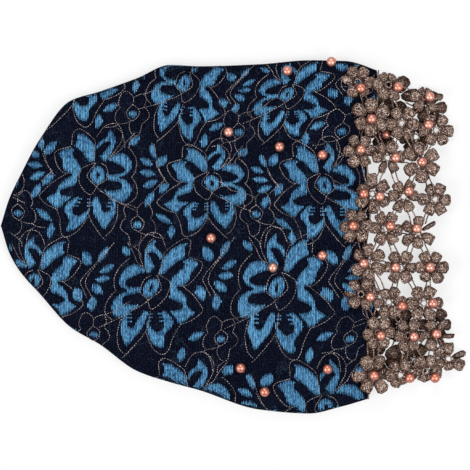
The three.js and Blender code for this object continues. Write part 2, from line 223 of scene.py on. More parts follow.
class ClothMap:
    """The cap's surface as a table over the cloth's own measure: x along the cap, and v across it from
    y = 0 on top. v goes with y where the cloth lies level, and round the folds with a share of the
    length of cloth, as the knit is stretched there."""

    STEP = 1.0
    TURNS = 720
    CROWN_LEFT = 1.5  # the table stops this far short of the crown
    FOLD_SHARE = 0.58

    def __init__(self):
        self.x = np.arange(0.0, CROWN_TIP - self.CROWN_LEFT, self.STEP)
        a = np.linspace(-1, 1, self.TURNS + 1)
        rings = cap_point(self.x[:, None], a[None, :])
        pace = np.diff(rings, axis=1)
        length = np.maximum(np.abs(pace[..., 1]), self.FOLD_SHARE * np.linalg.norm(pace, axis=2))
        along = np.concatenate([np.zeros((len(self.x), 1)), np.cumsum(length, axis=1)], axis=1)
        top = len(a) // 2
        across = along - along[:, top : top + 1] + rings[:, top, 1][:, None]
        self.low, self.high = across[:, 0], across[:, -1]
        self.v = np.arange(math.floor(self.low.min()), math.ceil(self.high.max()) + 1, self.STEP)
        table = [[np.interp(self.v, v, ring[:, k]) for k in range(3)] for v, ring in zip(across, rings)]
        self.table = np.array(table).transpose(0, 2, 1)
        self.upper = slice(len(a) // 4, len(a) - len(a) // 4)
        self.across, self.rings = across, rings
        normal = np.cross(np.gradient(self.table, axis=1), np.gradient(self.table, axis=0))
        size = np.linalg.norm(normal, axis=2, keepdims=True)
        self.normal = np.where(size > 1e-6, normal / np.maximum(size, 1e-9), [0, 0, 1.0])

    def measure(self, x, y):
        """The cloth's measure v of the point of the top that lies over (x, y); past the outline it
        goes on from the fold."""
        ring = int(np.clip(round(-x / self.STEP), 0, len(self.x) - 1))
        ys = self.rings[ring, self.upper, 1]
        vs = self.across[ring, self.upper]
        beyond = max(0.0, y - ys[-1]) - max(0.0, ys[0] - y)
        return float(np.interp(y, ys, vs) + beyond)

    def inside(self, x, v, edge):
        """Where the cloth has a point for x and v, an edge away from its hem and its ends and four
        edges from the crown's tip, where it draws together."""
        ring = np.clip(-x / self.STEP, 0, len(self.x) - 1).astype(int)
        along = (-x > edge) & (-x < self.x[-1] - 4 * edge)
        return along & (v > self.low[ring] + edge) & (v < self.high[ring] - edge)

    def at(self, x, v, lift=0.0):
        """Points at x and v, lifted off the cloth, and the cloth's normals there: bilinear in the
        table."""
        i = np.clip(-x / self.STEP, 0, len(self.x) - 1.001)
        j = np.clip((v - self.v[0]) / self.STEP, 0, len(self.v) - 1.001)
        ring, column = i.astype(int), j.astype(int)
        back, side = (i - ring)[..., None], (j - column)[..., None]

        def blend(table):
            near = table[ring, column] * (1 - side) + table[ring, column + 1] * side
            far = table[ring + 1, column] * (1 - side) + table[ring + 1, column + 1] * side
            return near * (1 - back) + far * back

        normal = blend(self.normal)
        normal = normal / np.linalg.norm(normal, axis=-1, keepdims=True)
        return blend(self.table) + normal * np.asarray(lift, float)[..., None], normal


# ---- Curves and meshes ----


def smooth_curve(points, steps=6, closed=False):
    """A curve through the points: on each stretch the Catmull-Rom blend of the four points round it."""
    points = np.asarray(points, float)
    if closed:
        chain = np.concatenate([points[-1:], points, points[:2]])
    else:
        chain = np.concatenate([2 * points[:1] - points[1:2], points, 2 * points[-1:] - points[-2:-1]])
    before, start, end, after = (chain[i : len(chain) - 3 + i][:, None, :] for i in range(4))
    t = np.linspace(0, 1, steps, endpoint=False)[None, :, None]
    curve = 2 * start + (end - before) * t + (2 * before - 5 * start + 4 * end - after) * t**2
    curve = (curve + (3 * start - 3 * end + after - before) * t**3) / 2
    curve = curve.reshape(-1, points.shape[1])
    return curve if closed else np.concatenate([curve, points[-1:]])


def distances(path):
    """How far along the path each of its points lies."""
    return np.concatenate([[0], np.cumsum(np.linalg.norm(np.diff(path, axis=0), axis=1))])


def evenly(path, step):
    """The same path with its points about a step apart along it, and their distances along it."""
    length = distances(path)
    at = np.linspace(0, length[-1], max(3, int(round(length[-1] / step)) + 1))
    return np.stack([np.interp(at, length, column) for column in path.T], axis=1), at


def inside_outline(x, y, outline):
    """Where a line run to the right from (x, y) crosses the outline an odd number of times."""
    odd = np.zeros(np.broadcast(x, y).shape, bool)
    for (ax, ay), (bx, by) in zip(outline, np.roll(outline, -1, axis=0)):
        if ay != by:
            odd ^= ((ay > y) != (by > y)) & (x < ax + (y - ay) * (bx - ax) / (by - ay))
    return odd


def unit(vectors):
    return vectors / np.maximum(np.linalg.norm(vectors, axis=-1, keepdims=True), 1e-12)


def grid_quads(rows, columns, closed=True):
    """The quads between neighbouring points of a grid; if closed, its last column joins the first."""
    i = np.arange(rows - 1)[:, None]
    j = np.arange(columns if closed else columns - 1)[None, :]
    k = (j + 1) % columns
    corners = [i * columns + j, i * columns + k, (i + 1) * columns + k, (i + 1) * columns + j]
    return np.stack(np.broadcast_arrays(*corners), axis=-1).reshape(-1, 4)


def end_fans(rows, columns):
    """The triangles that close a grid of rings at both ends: each edge of its first ring with the
    point that follows the grid, and each edge of its last ring with the point after that."""
    ring = np.arange(columns)
    tip = np.full(columns, rows * columns)
    last = ring + (rows - 1) * columns
    first_fan = np.stack([tip, np.roll(ring, -1), ring], axis=1)
    return np.concatenate([first_fan, np.stack([last, np.roll(last, -1), tip + 1], axis=1)])


TUBE_TIP = 0.7  # how far a tube's rounded end stands out, in radii


class Shapes:
    """The points and faces of many small shapes, gathered for one mesh. Each point has two measures
    for the materials: `along` its thread, in millimetres, and a `shade` from 0 to 1, which is a
    random tone on the floats and pearls and painted light and shade on the trim's petals."""

    def __init__(self):
        self.points, self.quads, self.triangles, self.along, self.shade = [], [], [], [], []
        self.count = 0

    def add(self, points, quads=(), triangles=(), along=0.0, shade=0.5):
        points = np.asarray(points, float)
        size = points.shape[:-1]
        self.along.append(np.broadcast_to(along, size).reshape(-1))
        self.shade.append(np.broadcast_to(shade, size).reshape(-1))
        self.points.append(points.reshape(-1, 3))
        self.quads.append(np.asarray(quads, int).reshape(-1, 4) + self.count)
        self.triangles.append(np.asarray(triangles, int).reshape(-1, 3) + self.count)
        self.count += len(self.points[-1])

    def repeat(self, points, quads, triangles, along=0.0, shade=0.5):
        """Adds many copies of one kind of shape: points is (copies, points of each, 3)."""
        copies, each = points.shape[:2]
        first = np.arange(copies)[:, None, None] * each
        quads = np.asarray(quads, int).reshape(-1, 4)[None] + first
        triangles = np.asarray(triangles, int).reshape(-1, 3)[None] + first
        self.add(points, quads, triangles, along, shade)

    def closed(self, rings, tips, along=0.0, shade=0.5):
        """Adds a grid of rings, closed by a fan from a tip at each end."""
        rows, columns = rings.shape[:2]
        points = np.concatenate([rings.reshape(-1, 3), tips])
        self.add(points, grid_quads(rows, columns), end_fans(rows, columns), along, shade)

    def tube(self, path, radius, up=(0, 0, 1), sides=5, along=None, shade=0.5):
        """A round thread along a path: a ring of points about each of its points, across its run,
        closed by a rounded tip at both ends."""
        run = unit(np.gradient(path, axis=0))
        side = unit(np.cross(np.broadcast_to(up, path.shape), run))
        top = np.cross(run, side)
        turn = np.linspace(0, 2 * np.pi, sides, endpoint=False)[None, :, None]
        rings = path[:, None] + radius * (side[:, None] * np.cos(turn) + top[:, None] * np.sin(turn))
        tips = [path[0] - run[0] * radius * TUBE_TIP, path[-1] + run[-1] * radius * TUBE_TIP]
        along = distances(path) if along is None else along
        along = np.concatenate([np.repeat(along, sides), along[[0, -1]]])
        self.closed(rings, tips, along, shade)

    def make(self, name, material):
        """One mesh object from all of them, in metres in the frame."""
        points = to_frame(np.concatenate(self.points))
        quads = np.concatenate(self.quads)
        triangles = np.concatenate(self.triangles)
        corners = np.concatenate([quads.ravel(), triangles.ravel()])
        starts = [np.arange(len(quads)) * 4, quads.size + np.arange(len(triangles)) * 3]
        piece = mesh_object(name, points, corners, np.concatenate(starts), material)
        for label, parts in (("along", self.along), ("shade", self.shade)):
            attribute = piece.data.attributes.new(label, "FLOAT", "POINT")
            attribute.data.foreach_set("value", np.concatenate(parts).astype(np.float32))
        return piece


def mesh_object(name, points, corners, starts, material, smooth=True):
    """A mesh object from its points, its faces' corners in turn and where each face starts."""
    mesh = bpy.data.meshes.new(name)
    mesh.vertices.add(len(points))
    mesh.vertices.foreach_set("co", points.astype(np.float32).ravel())
    mesh.loops.add(len(corners))
    mesh.loops.foreach_set("vertex_index", corners.astype(np.int32))
    mesh.polygons.add(len(starts))
    mesh.polygons.foreach_set("loop_start", starts.astype(np.int32))
    mesh.polygons.foreach_set("use_smooth", np.full(len(starts), smooth))
    mesh.update(calc_edges=True)
    mesh.validate()
    mesh.materials.append(material)
    piece = bpy.data.objects.new(name, mesh)
    bpy.context.scene.collection.objects.link(piece)
    return piece


# ---- The cloth ----

RINGS = 170  # of the outer face
INNER_RINGS = 60
ROUND = 240  # points in each ring
TIP_SHARE = 0.985  # how far to the crown the last ring lies
RING_CROWDING = 1.15
TIP_OUT = [0.6, 0, 0]  # how far past their last rings the outer and the inner face come to a point
INNER_TIP_OUT = [0.3, 0, 0]


def ring_backs(count):
    """Distances back from the hem, closer together towards the hem and the crown."""
    return CROWN_TIP * np.sin(np.linspace(0, TIP_SHARE, count) * np.pi / 2) ** RING_CROWDING


def brocade_shell(wall):
    """The cap's cloth as one closed shell: the outer face over rings and turns, the hem rounded over
    half a wall's depth, and the inner face a wall inside, both drawn to a point at the crown."""
    a = np.linspace(1, -1, ROUND, endpoint=False)
    outer = cap_point(ring_backs(RINGS)[:, None], a[None, :])
    inner = cap_point(ring_backs(INNER_RINGS)[:, None] * (1 - 2 * wall / CROWN_TIP), a[None, :], wall)
    rim = cap_point(np.zeros((1, 1)), a[None, :], wall / 2)
    rim[..., 0] += wall / 2
    rings = np.concatenate([outer[::-1], rim, inner])
    tips = [outer[-1].mean(axis=0) - TIP_OUT, inner[-1].mean(axis=0) - INNER_TIP_OUT]
    return rings, tips


def cloth_measure(rings):
    """Each ring point's own measure in metres, x along the cap and v across it from the middle of the
    top, with the first point's again at the end, where the ring closes."""
    closed = np.concatenate([rings, rings[:, :1]], axis=1)
    length = np.cumsum(np.linalg.norm(np.diff(closed, axis=1), axis=2), axis=1)
    length = np.concatenate([np.zeros((len(rings), 1)), length], axis=1)
    top = ROUND // 2
    v = rings[:, top : top + 1, 1] + length[:, top : top + 1] - length
    return np.stack([closed[..., 0], v], axis=-1) * MM


def make_cloth(wall, material):
    """The shell as an object, with the cloth's own measure as its UV map."""
    rings, tips = brocade_shell(wall)
    shapes = Shapes()
    shapes.closed(rings, tips)
    piece = shapes.make("brocade_cloth", material)
    uv = cloth_measure(rings)
    start, end = uv[:, :-1], uv[:, 1:]
    quads = np.stack([start[:-1], end[:-1], end[1:], start[1:]], axis=2)
    fans = [np.stack([start[row], end[row], start[row]], axis=1) for row in (0, -1)]
    layer = piece.data.uv_layers.new(name="cloth")
    corners = np.concatenate([part.reshape(-1, 2) for part in [quads] + fans])
    layer.data.foreach_set("uv", corners.astype(np.float32).ravel())
    return piece


# ---- The woven pattern ----

# One woven flower, in millimetres from its eye, x towards the hem: the outlines of its petals
PETALS = [
    [(-16.5, 30.5), (-10.5, 30), (-5, 25.5), (-2, 20), (-3, 10), (-7, 10.5), (-12, 17), (-16.5, 20)]
    + [(-17.5, 22), (-15, 28)],
    [(-29, 16.5), (-24.5, 19.5), (-20, 20), (-17.5, 18.5), (-19, 15), (-15, 10), (-13, 5.5)]
    + [(-14.5, 0.5), (-21.5, 1), (-26, 4.5), (-26, 9), (-28, 13.5)],
    [(-14.5, 0.5), (-21.5, -1.5), (-28, -7), (-31, -13), (-37.5, -17), (-36, -20), (-32, -24)]
    + [(-28, -25), (-25, -21), (-19, -15.5)],
    [(-16, -16), (-22.5, -21), (-24.5, -26.5), (-21, -33), (-22.5, -41.5), (-15, -39.5)]
    + [(-8.5, -32.5), (-5.5, -26), (-4.3, -20), (-4.8, -17.5), (-11, -17)],
    [(-2.5, -16), (-2.5, -28), (2, -35.5), (5.5, -40), (10, -34.5), (13.5, -28), (14, -20), (11, -16)],
    [(7.5, -2.5), (16.5, -1.5), (23, -5), (25, -10.5), (22.5, -17), (17.5, -20), (9, -16), (5.5, -11)],
    [(8.5, 12), (14, 16.5), (21, 16), (25, 10), (24.5, 4.5), (20.5, 0.5), (7.5, -2.5)],
    [(-1, 21), (1.5, 25.5), (6.5, 29), (8.5, 34), (13, 28), (12, 21), (8.5, 14), (5.5, 10), (2, 13.5)],
]
# The slits in the last six petals, and the sides of a slit that are combed: 1 towards greater x, -1
# towards smaller
SLITS = {
    2: [(-28, -12.5), (-21, -9), (-13.5, -7.5), (-12.5, -12), (-17.5, -15.5), (-24.5, -15.5)],
    3: [(-4.6, -14), (-12, -15.5), (-16.8, -22), (-18.3, -27.5), (-14, -30), (-8.5, -26.5), (-4.9, -23)]
    + [(-4.2, -18)],
    4: [(0.5, -13), (2.5, -21), (4.5, -26.5), (8.5, -26), (10.8, -21), (11, -13)],
    5: [(6.5, -3.8), (12, -4.2), (16.5, -5), (18.5, -8), (16, -10), (6, -10.8)],
    6: [(7, 10), (14, 9), (20, 5), (17.5, 2), (7, 1.5)],
    7: [(0.5, 13.5), (-1, 18), (4.5, 24), (10, 24.5), (7.5, 21.5), (3.5, 16.5)],
}
COMBED = {3: (1, -1), 4: (1,)}
COMB_DEPTH = 3.3
COMB_PITCH = 2.6
COMB_END = -24.5
EYE = (5.5, 7)
EYE_SLOT = (0.9, 2.4)
# The leaves round it: x, y, length, width, tilt in degrees from the x axis. They lie a little
# otherwise round a mirrored flower
LEAVES = {
    1: [(27, 26, 11, 6.5, 45), (41, 18.5, 13, 5, 100), (36, 10.5, 11, 6, -30), (37, 2, 12, 6, -10)]
    + [(39, -6, 13, 6, 25), (38.5, -17.5, 14, 6, 65), (-36, 19.5, 14, 7, 50), (-37, -3.5, 13, 6.5, 55)]
    + [(-39.5, -30, 15, 6, -40), (-34.5, -41.5, 13, 5.5, 80)],
    -1: [(26.5, 26, 11, 5, 38), (42.5, 24, 12.5, 6, 105), (36.5, 14, 11, 6, -30), (37.5, 7, 11, 5.5, 0)]
    + [(39.5, 0, 13, 6, 35), (40, -10, 12.5, 6.5, 75), (52.5, -4, 13, 7, 53), (53.5, 21, 13.5, 7, 49)],
}
# The metallic threads round the petals and between the flowers
FLOWER_THREADS = [
    [(-20.5, 21), (-30, 18), (-32.5, 14), (-30, 6.5), (-26, 2), (-22, 1)],
    [(-20, 22), (-19, 29.5), (-17.5, 32.5), (-13, 34), (-5, 28.5), (-2, 24), (-2.5, 15), (-2.5, 10)],
    [(-1.5, 28), (5, 36.5), (13.5, 38.5), (18, 32.5), (17, 25), (11, 16), (7.5, 12)],
    [(27.5, 32), (20.5, 24.5), (16, 18.5), (10, 14.5)],
    [(22, 21.5), (26.5, 16.5), (29, 10), (27.5, 2.5), (25, -1)],
    [(25, -1), (29, -7.5), (28.5, -16), (21.5, -21.5)],
    [(7.5, -14), (12.5, -18), (21.5, -22.5), (30, -26.5)],
    [(-5, -16), (-6, -29.5), (2, -43), (6.5, -48)],
    [(15, -21), (15, -30.5), (11, -40.5), (6, -45)],
    [(-6, -30), (-14, -41), (-22.5, -46), (-26.5, -43.5), (-27.5, -33.5), (-30, -25.5)],
    [(-30, -25.5), (-38, -22), (-43, -16.5), (-41, -13), (-33, -5.5), (-23, 1)],
    [(-1.5, 9), (-7.5, 1), (-7, -2.5), (-0.5, -8.5)],
    [(-0.5, -8.5), (-5, -14.5), (-10.5, -10.5), (-13.5, -5), (-13, 3.5), (-7, 7.5), (-1.5, 9.5)],
    [(2.5, 9), (6.5, 6.5), (7.5, 1), (6, -3.5), (-0.5, -8.5), (7.5, -14.5)],
]
STEMS = {
    1: [[(42, 23.5), (44, 10.5), (48, -0.5), (53, -6.5)]]
    + [[(43, 10.5), (46, 2.5), (50, -2.5), (48, -4.5), (42, -10.5)]],
    -1: [[(37, 32), (44, 19), (49.5, 5.5), (42, -5), (38, -14)]]
    + [[(42, 26), (46, 17.5), (53, 6), (50, 0.5), (45, -6)]],
}
# The clover between the flowers: a woven disc with threads round five lobes and along its stems
CLOVER_DISC = (3.4, 2.9)
# The leaves beside a clover: none, those of the upper rows and those of the lowest row
CLOVER_LEAVES = [
    [],
    [(-16.8, 4.5, 12.5, 6, 27), (-26, -6, 12.5, 6, 80)],
    [(-18.7, 2, 13.5, 6, 27), (-29.5, -12, 13.5, 6, 80)],
]
CLOVER_THREADS = [
    [(0, 7), (-4.5, 2.5), (-4.5, -1), (-2.5, -4), (-0.5, -5.5)],
    [(0, 7), (4.5, 3.5), (4.5, -0.5), (3, -3), (-0.5, -5), (-2.5, -6)],
    [(0, 7.5), (0.5, 12.5), (-1.5, 14.5), (-4.5, 17), (-8.5, 15), (-11, 9), (-10.5, 6.5), (-9.5, 4.5)],
    [(-9.5, 4.5), (-12.5, 1.5), (-13.5, -3.5), (-12.5, -6.5), (-10.5, -8)],
    [(1, 12.5), (3.5, 14), (6.5, 15), (8.5, 15), (10, 12.5), (10, 9.5), (8.5, 5.5)],
    [(8.5, 5), (11, 3), (12.5, -1.5), (10.5, -4.5), (6.5, -7.5)],
    [(6.5, -7.5), (5.5, -13), (4.5, -15.5), (2.5, -16.5)],
    [(-2.5, -6), (-3, -9.5), (-2, -13), (-0.5, -15), (2.5, -16.5)],
    [(-2.5, -6), (-7, -7.5), (-10.5, -7.5), (-13.5, -9.5), (-20.5, -10.5)],
    [(8.5, 15), (15.5, 17.5), (18.5, 18), (24, 23), (28.5, 25)],
    [(2.5, -16.5), (-0.5, -19), (-2.5, -21), (-3, -25)],
    [(-12, -10.5), (-9.5, -12.5), (-7.5, -16), (-6, -25)],
]

# Where the flowers lie: x and y of the eye, width and height scales, 1 or -1 for a mirrored one, and
# how far the cloth has pulled it askew: x by its lean times y, and y by its tilt times x.
# A y past a side fold goes on round it, on the belly
FLOWERS = [
    (-216, 125, 0.95, 1.0, -1, 0.36, 0),
    (-136, 113.5, 0.9, 0.94, -1, 0.36, -0.2),
    (-58.5, 104, 0.88, 0.78, -1, 0.36, 0.05),
    (19, 108, 0.85, 0.8, -1, 0.3, 0),
    (-285, 49, 1.0, 1.0, 1, 0, 0),
    (-201, 44, 1.0, 1.0, 1, 0, 0),
    (-116, 38, 0.99, 0.87, 1, -0.12, 0),
    (-31, 36, 0.96, 0.95, 1, -0.2, 0),
    (-249.5, -36, 1.0, 1.0, -1, 0.3, 0),
    (-160.5, -40.5, 1.02, 1.09, -1, 0.3, 0),
    (-67.5, -40, 1.05, 1.17, -1, 0.2, 0),
    (25, -40, 1.05, 1.1, -1, 0.2, 0),
    (-227, -129, 1.12, 1.06, 1, -0.2, 0),
    (-128, -129, 1.12, 1.06, 1, -0.18, 0),
    (-29, -130.5, 1.12, 1.09, 1, -0.21, 0),
]
FLOWERS += [(x, 195, 1.0, 1.0, 1, 0, 0) for x in (-250, -165, -80, 5)]
FLOWERS += [(x, -215, 1.0, 1.0, -1, 0.3, 0) for x in (-165, -75, 16)]
# The clovers, row by row: x, y, hand and which leaves
CLOVERS = [(x, y, 1, 1) for x, y in ((-175, 90), (-95.5, 76), (-19, 76))]
CLOVERS += [(x, y, -1, 0) for x, y in ((-260, 15), (-171, 7.5), (-83, 14), (4, 15))]
CLOVERS += [(x, y, 1, 2) for x, y in ((-204, -75), (-108, -79), (-13, -78))]
CLOVERS += [(x, 156, -1, 0) for x in (-210, -125, -40)]
CLOVERS += [(x, 236, 1, 1) for x in (-165, -80)]
CLOVERS += [(x, -168, -1, 0) for x in (-120, -30)]
MOTIF_REACH = 66
SAMPLE = 0.4
TOP_FROM = 5.5  # the height that parts what is on top from what is on the belly
STRETCH = 0.7
FLOATS_FROM_HEM = 1.2
THREADS_FROM_HEM = 1.5
FLOAT_WIDTH = 0.64  # half a float's width, in ribs
FLOAT_STEP = 3.2
FLOAT_STEPS = (2, 14)  # the fewest and the most steps along one float
FLOAT_SHORTEST = 0.7
FLOAT_LONG = 2  # a float longer than this may have ragged ends
FLOAT_RAGGED = (-0.45, 0.25)  # how far such an end may stand in or out
FLOAT_SHADES = 0.22  # how much the shade varies from float to float
FLOAT_FOOT = -0.12  # a float's edges lie just inside the cloth
FLOAT_ENDS = (0.6, 0.25)  # the shares of its width and height that a float's ends keep
THREAD_WANDER = 0.12
THREAD_SHORTEST = 3  # points
THREAD_STARTS = 100  # each thread's dashes start somewhere within this many millimetres


def in_oval(x, y, half_sizes):
    return (x / half_sizes[0]) ** 2 + (y / half_sizes[1]) ** 2 < 1


def flower_area(x, y):
    """Where the woven flower shows: its petals less their slits, and its eye less the slot. A combed
    side of a slit comes in by the comb's depth for a part of every pitch, near the slit's mouth."""
    area = in_oval(x, y, EYE) & ~in_oval(x, y, EYE_SLOT)
    tooth = (np.sin(2 * np.pi * y / COMB_PITCH) > 0) & (y > COMB_END)
    for number, outline in enumerate(PETALS):
        petal = inside_outline(x, y, smooth_curve(outline, closed=True))
        if number in SLITS:
            slit = smooth_curve(SLITS[number], closed=True)
            gap = inside_outline(x, y, slit)
            for side in COMBED.get(number, ()):
                gap &= inside_outline(x + side * COMB_DEPTH, y, slit) | ~tooth
            petal &= ~gap
        area |= petal
    return area


def leaf_area(x, y, leaves):
    """Where the leaves show: each is what lies between two parabolas over its length."""
    area = np.zeros(x.shape, bool)
    for leaf_x, leaf_y, length, width, tilt in leaves:
        turn = math.radians(tilt)
        along = ((x - leaf_x) * math.cos(turn) + (y - leaf_y) * math.sin(turn)) / (length / 2)
        across = ((y - leaf_y) * math.cos(turn) - (x - leaf_x) * math.sin(turn)) / (width / 2)
        area |= np.abs(across) < 1 - along**2
    return area


def clover_area(x, y):
    return in_oval(x, y, CLOVER_DISC)


def stretch(x, v):
    """How far the knit has pulled the pattern out of true: slow waves of under a millimetre."""
    return STRETCH * np.sin(v / 37 + x / 53), STRETCH * np.sin(x / 31 - v / 61 + 1.3)


def motifs(cloth):
    """Every flower and clover as (where its disc and petals show, its threads, its leaves, the x and v
    of its eye, its two scales, hand, lean and tilt)."""
    for x, y, wide, tall, hand, lean, tilt in FLOWERS:
        threads = FLOWER_THREADS + STEMS[hand]
        yield flower_area, threads, LEAVES[hand], x, cloth.measure(x, y), wide, tall, hand, lean, tilt
    for x, y, hand, leaves in CLOVERS:
        v = cloth.measure(x, y)
        yield clover_area, CLOVER_THREADS, CLOVER_LEAVES[leaves], x, v, 1, 1, hand, 0, 0


def float_runs(cloth, rib):
    """The woven floats, column by column: each run's x and the v where it starts and ends."""
    columns = -(np.arange(int(CROWN_TIP / rib)) + 0.5) * rib
    rows = np.arange(cloth.v[0], cloth.v[-1], SAMPLE)
    woven = np.zeros((len(columns), len(rows)), bool)
    for main_area, _, leaves, eye_x, eye_v, wide, tall, hand, lean, tilt in motifs(cloth):
        near_x = np.flatnonzero(np.abs(columns - eye_x) < MOTIF_REACH * wide)
        near_v = np.flatnonzero(np.abs(rows - eye_v) < MOTIF_REACH * tall)
        if not (near_x.size and near_v.size):
            continue
        window = np.ix_(near_x, near_v)
        x, v = np.broadcast_arrays(columns[near_x][:, None], rows[near_v][None, :])
        pulled_x, pulled_v = stretch(x, v)
        up = v + pulled_v - eye_v
        out = x + pulled_x - eye_x - lean * up
        local = hand * out / wide, (up - tilt * out) / tall
        woven[window] |= main_area(*local) | leaf_area(*local, leaves)
    woven &= cloth.inside(*np.meshgrid(columns, rows, indexing="ij"), FLOATS_FROM_HEM)
    edge = np.diff(np.pad(woven, ((0, 0), (1, 1))).astype(np.int8), axis=1)
    start_column, start_row = np.nonzero(edge == 1)
    _, end_row = np.nonzero(edge == -1)
    return columns[start_column], rows[start_row] - SAMPLE / 2, rows[end_row - 1] + SAMPLE / 2


def float_ribs(cloth, rib, height, seed):
    """Each run as a low ridge: a triangle whose width is the rib's, carried along the cloth and
    drawn in at both ends. Returns the ridges on top and those on the belly."""
    rng = np.random.default_rng(seed)
    x, start, end = float_runs(cloth, rib)
    long = end - start > FLOAT_LONG
    start = start - long * rng.uniform(*FLOAT_RAGGED, len(x))
    end = end + long * rng.uniform(*FLOAT_RAGGED, len(x))
    shade = np.clip(0.5 + FLOAT_SHADES * rng.standard_normal(len(x)), 0, 1)
    keep = end - start > FLOAT_SHORTEST
    x, start, end, shade = x[keep], start[keep], end[keep], shade[keep]
    pieces = {"top": Shapes(), "belly": Shapes()}
    steps = np.clip(np.ceil((end - start) / FLOAT_STEP).astype(int), *FLOAT_STEPS)
    on_top = cloth.at(x, (start + end) / 2)[0][:, 2] > TOP_FROM
    for side, shapes in pieces.items():
        for count in np.unique(steps):
            pick = (steps == count) & (on_top == (side == "top"))
            if not pick.any():
                continue
            t = np.linspace(0, 1, count + 1)
            v = start[pick, None] + (end - start)[pick, None] * t
            xs = np.broadcast_to(x[pick, None], v.shape)
            at_end = (t == 0) | (t == 1)
            wide, tall = (np.where(at_end, share, 1.0) for share in FLOAT_ENDS)
            wide = wide * rib * FLOAT_WIDTH
            edges = ((wide, FLOAT_FOOT), (-wide, FLOAT_FOOT), (0, tall * height))
            rings = np.stack([cloth.at(xs + aside, v, lift)[0] for aside, lift in edges], axis=2)
            points = rings.reshape(len(rings), -1, 3)
            last = 3 * count
            caps = [(0, 2, 1), (last, last + 1, last + 2)]
            tone = np.broadcast_to(shade[pick, None], points.shape[:2])
            shapes.repeat(points, grid_quads(count + 1, 3), caps, np.repeat(v, 3, axis=1), tone)
    return pieces


def thread_paths(cloth, step):
    """The metallic threads' paths over the cloth: each thread of each flower and clover, placed,
    smoothed and cut where the cloth ends."""
    paths = []
    for _, threads, _, eye_x, eye_v, wide, tall, hand, lean, tilt in motifs(cloth):
        for thread in threads:
            line, along = evenly(smooth_curve(thread), step)
            out = hand * wide * line[:, 0]
            up = tall * line[:, 1] + tilt * out
            x = eye_x + out + lean * up
            v = eye_v + up
            pulled_x, pulled_v = stretch(x, v)
            x, v = x - pulled_x, v - pulled_v
            held = cloth.inside(x, v, THREADS_FROM_HEM)
            edge = np.flatnonzero(np.diff(np.pad(held, 1).astype(np.int8)))
            for first, last in zip(edge[::2], edge[1::2]):
                if last - first >= THREAD_SHORTEST:
                    paths.append((x[first:last], v[first:last], along[first:last]))
    return paths


def metallic_threads(cloth, radius, step, lift, seed):
    """A thread is a thin tube that wanders by a tenth of a millimetre as it goes."""
    rng = np.random.default_rng(seed)
    pieces = {"top": Shapes(), "belly": Shapes()}
    for x, v, along in thread_paths(cloth, step):
        x = x + THREAD_WANDER * rng.standard_normal(len(x))
        path, normal = cloth.at(x, v, np.full(len(x), lift))
        side = "top" if path[:, 2].mean() > TOP_FROM else "belly"
        start = rng.uniform(0, THREAD_STARTS)
        pieces[side].tube(path, radius, normal, sides=4, along=along + start, shade=rng.uniform())
    return pieces


# ---- The guipure trim ----

Flower = namedtuple("Flower", "where middle axes")  # where is its layer, row and place

PETALS_ROUND = 6
PETAL_ROOT = 2.7
PETAL_TIP = 12.9
PETAL_HALF_WIDTH = 5.6
PETAL_BLUNT = 0.78  # the power that squares an oval's ends
PETAL_COLUMNS = 30
# Rows of a petal from the middle of its face to its edge: shares of the way out, and those of the
# rows of its underside from there back to the middle
FACE_ROWS = (0.22, 0.42, 0.58, 0.68, 0.75, 0.82, 0.89, 0.95, 1.0)
UNDER_ROWS = (0.93, 0.5)
# How the petals differ: the radians that they turn in their flower, the mean and spread of the degrees
# that they roll and pitch, how much their lobes stand out, how much narrower they are at the root,
# and how rough their stitches are
PETAL_TURN = 0.06
PETAL_ROLL = (0, 11)
PETAL_PITCH = (3, 7)
UNDER_LOOSE = 0.35  # the share of roll and pitch that the flowers beneath have
PETAL_SIZE = (0.95, 1.05)
PETAL_LOBES = (-0.09, 0.09)
PETAL_SCALLOPS = 0.03
PETAL_NARROWS = (0.4, 0.54)
STITCH_ROUGHNESS = 0.09
STITCHES_ROUND = 9
FACE_HEIGHT = 0.55
DOME_FALL = 0.6
RIDGES_ACROSS = 0.12
RIDGES_ALONG = 0.1
CUP = 0.02
CURL = 0.006
CORD_RIM = 0.55
RIM_AT = (0.89, 0.08)  # share of the way out, and how wide
GROOVE = 0.3
GROOVE_AT = (0.73, 0.06)
EDGE_THIN = 0.15
UNDERSIDE = 0.5
# The painted light and shade of a petal: that of its face, and what its rim adds as a painted highlight,
# its groove as painted shade and its stitches as painted light on their bumps; that of its underside's
# edge, painted darkest, and what it gains towards the middle; and that of the middle of either
FACE_SHADES = (0.6, 0.5, -1.6, 2)
UNDER_SHADES = (0.1, 0.75)
MIDDLE_SHADE = 0.4
DARK_EDGE = (0.8, 0.95)  # shares of the way out over which a petal's edge is painted dark, as shade where it rounds down
# Painted shade towards a petal's root, where the petals crowd together: the millimetres out over which it
# fades, and the share of the shade left at the root
DARK_ROOT = (3, 7)
DARK_ROOT_SHADE = 0.45
UNDER_LIT = 0.42  # the painted shadow on the flowers beneath the others, apart from the one that lies open
OPEN_BELOW = ("right", 0, 2)
TABLE_GAP = 0.05  # no petal comes nearer to what the cap lies on
# The cords: their radii, the ring in a flower's middle, the pairs of bars, the cords round the side
# folds and the one along the hem. A shade is from 0 to 1
CORD = 0.52
RING_CORD = 0.624
EYE_RING = 2.3
RING_SWELLS = 0.2
RING_LIFT = 0.3
RING_SHADE = 0.75
BAR_ROOT = 8.5
BAR_APART = 1.7
BAR_DRIFT = (-0.3, 0.3)
BAR_BOW = (-0.5, 0.7)
BAR_WAVE = 0.3
BAR_LIFT = 0.3
BAR_SAG = 0.35
BAR_SHADES = (0.35, 0.7)
FOLD_ROOT = 5
FOLD_SLANT = 3
FOLD_OUT = (3.0, 0.2)  # how far a cord at a side fold stands out and up
FOLD_STEP = 1.2
FOLD_SHADE = 0.7
HEM_CORD_POINTS = 260
HEM_CORD_END = 0.985
HEM_CORD_OUT = (1.0, 0.5, 9)  # how far it lies off the hem, how much it weaves, and over what length
HEM_CORD_UP = (0.3, 0.3, 7)
HEM_CORD_SHADE = 0.6
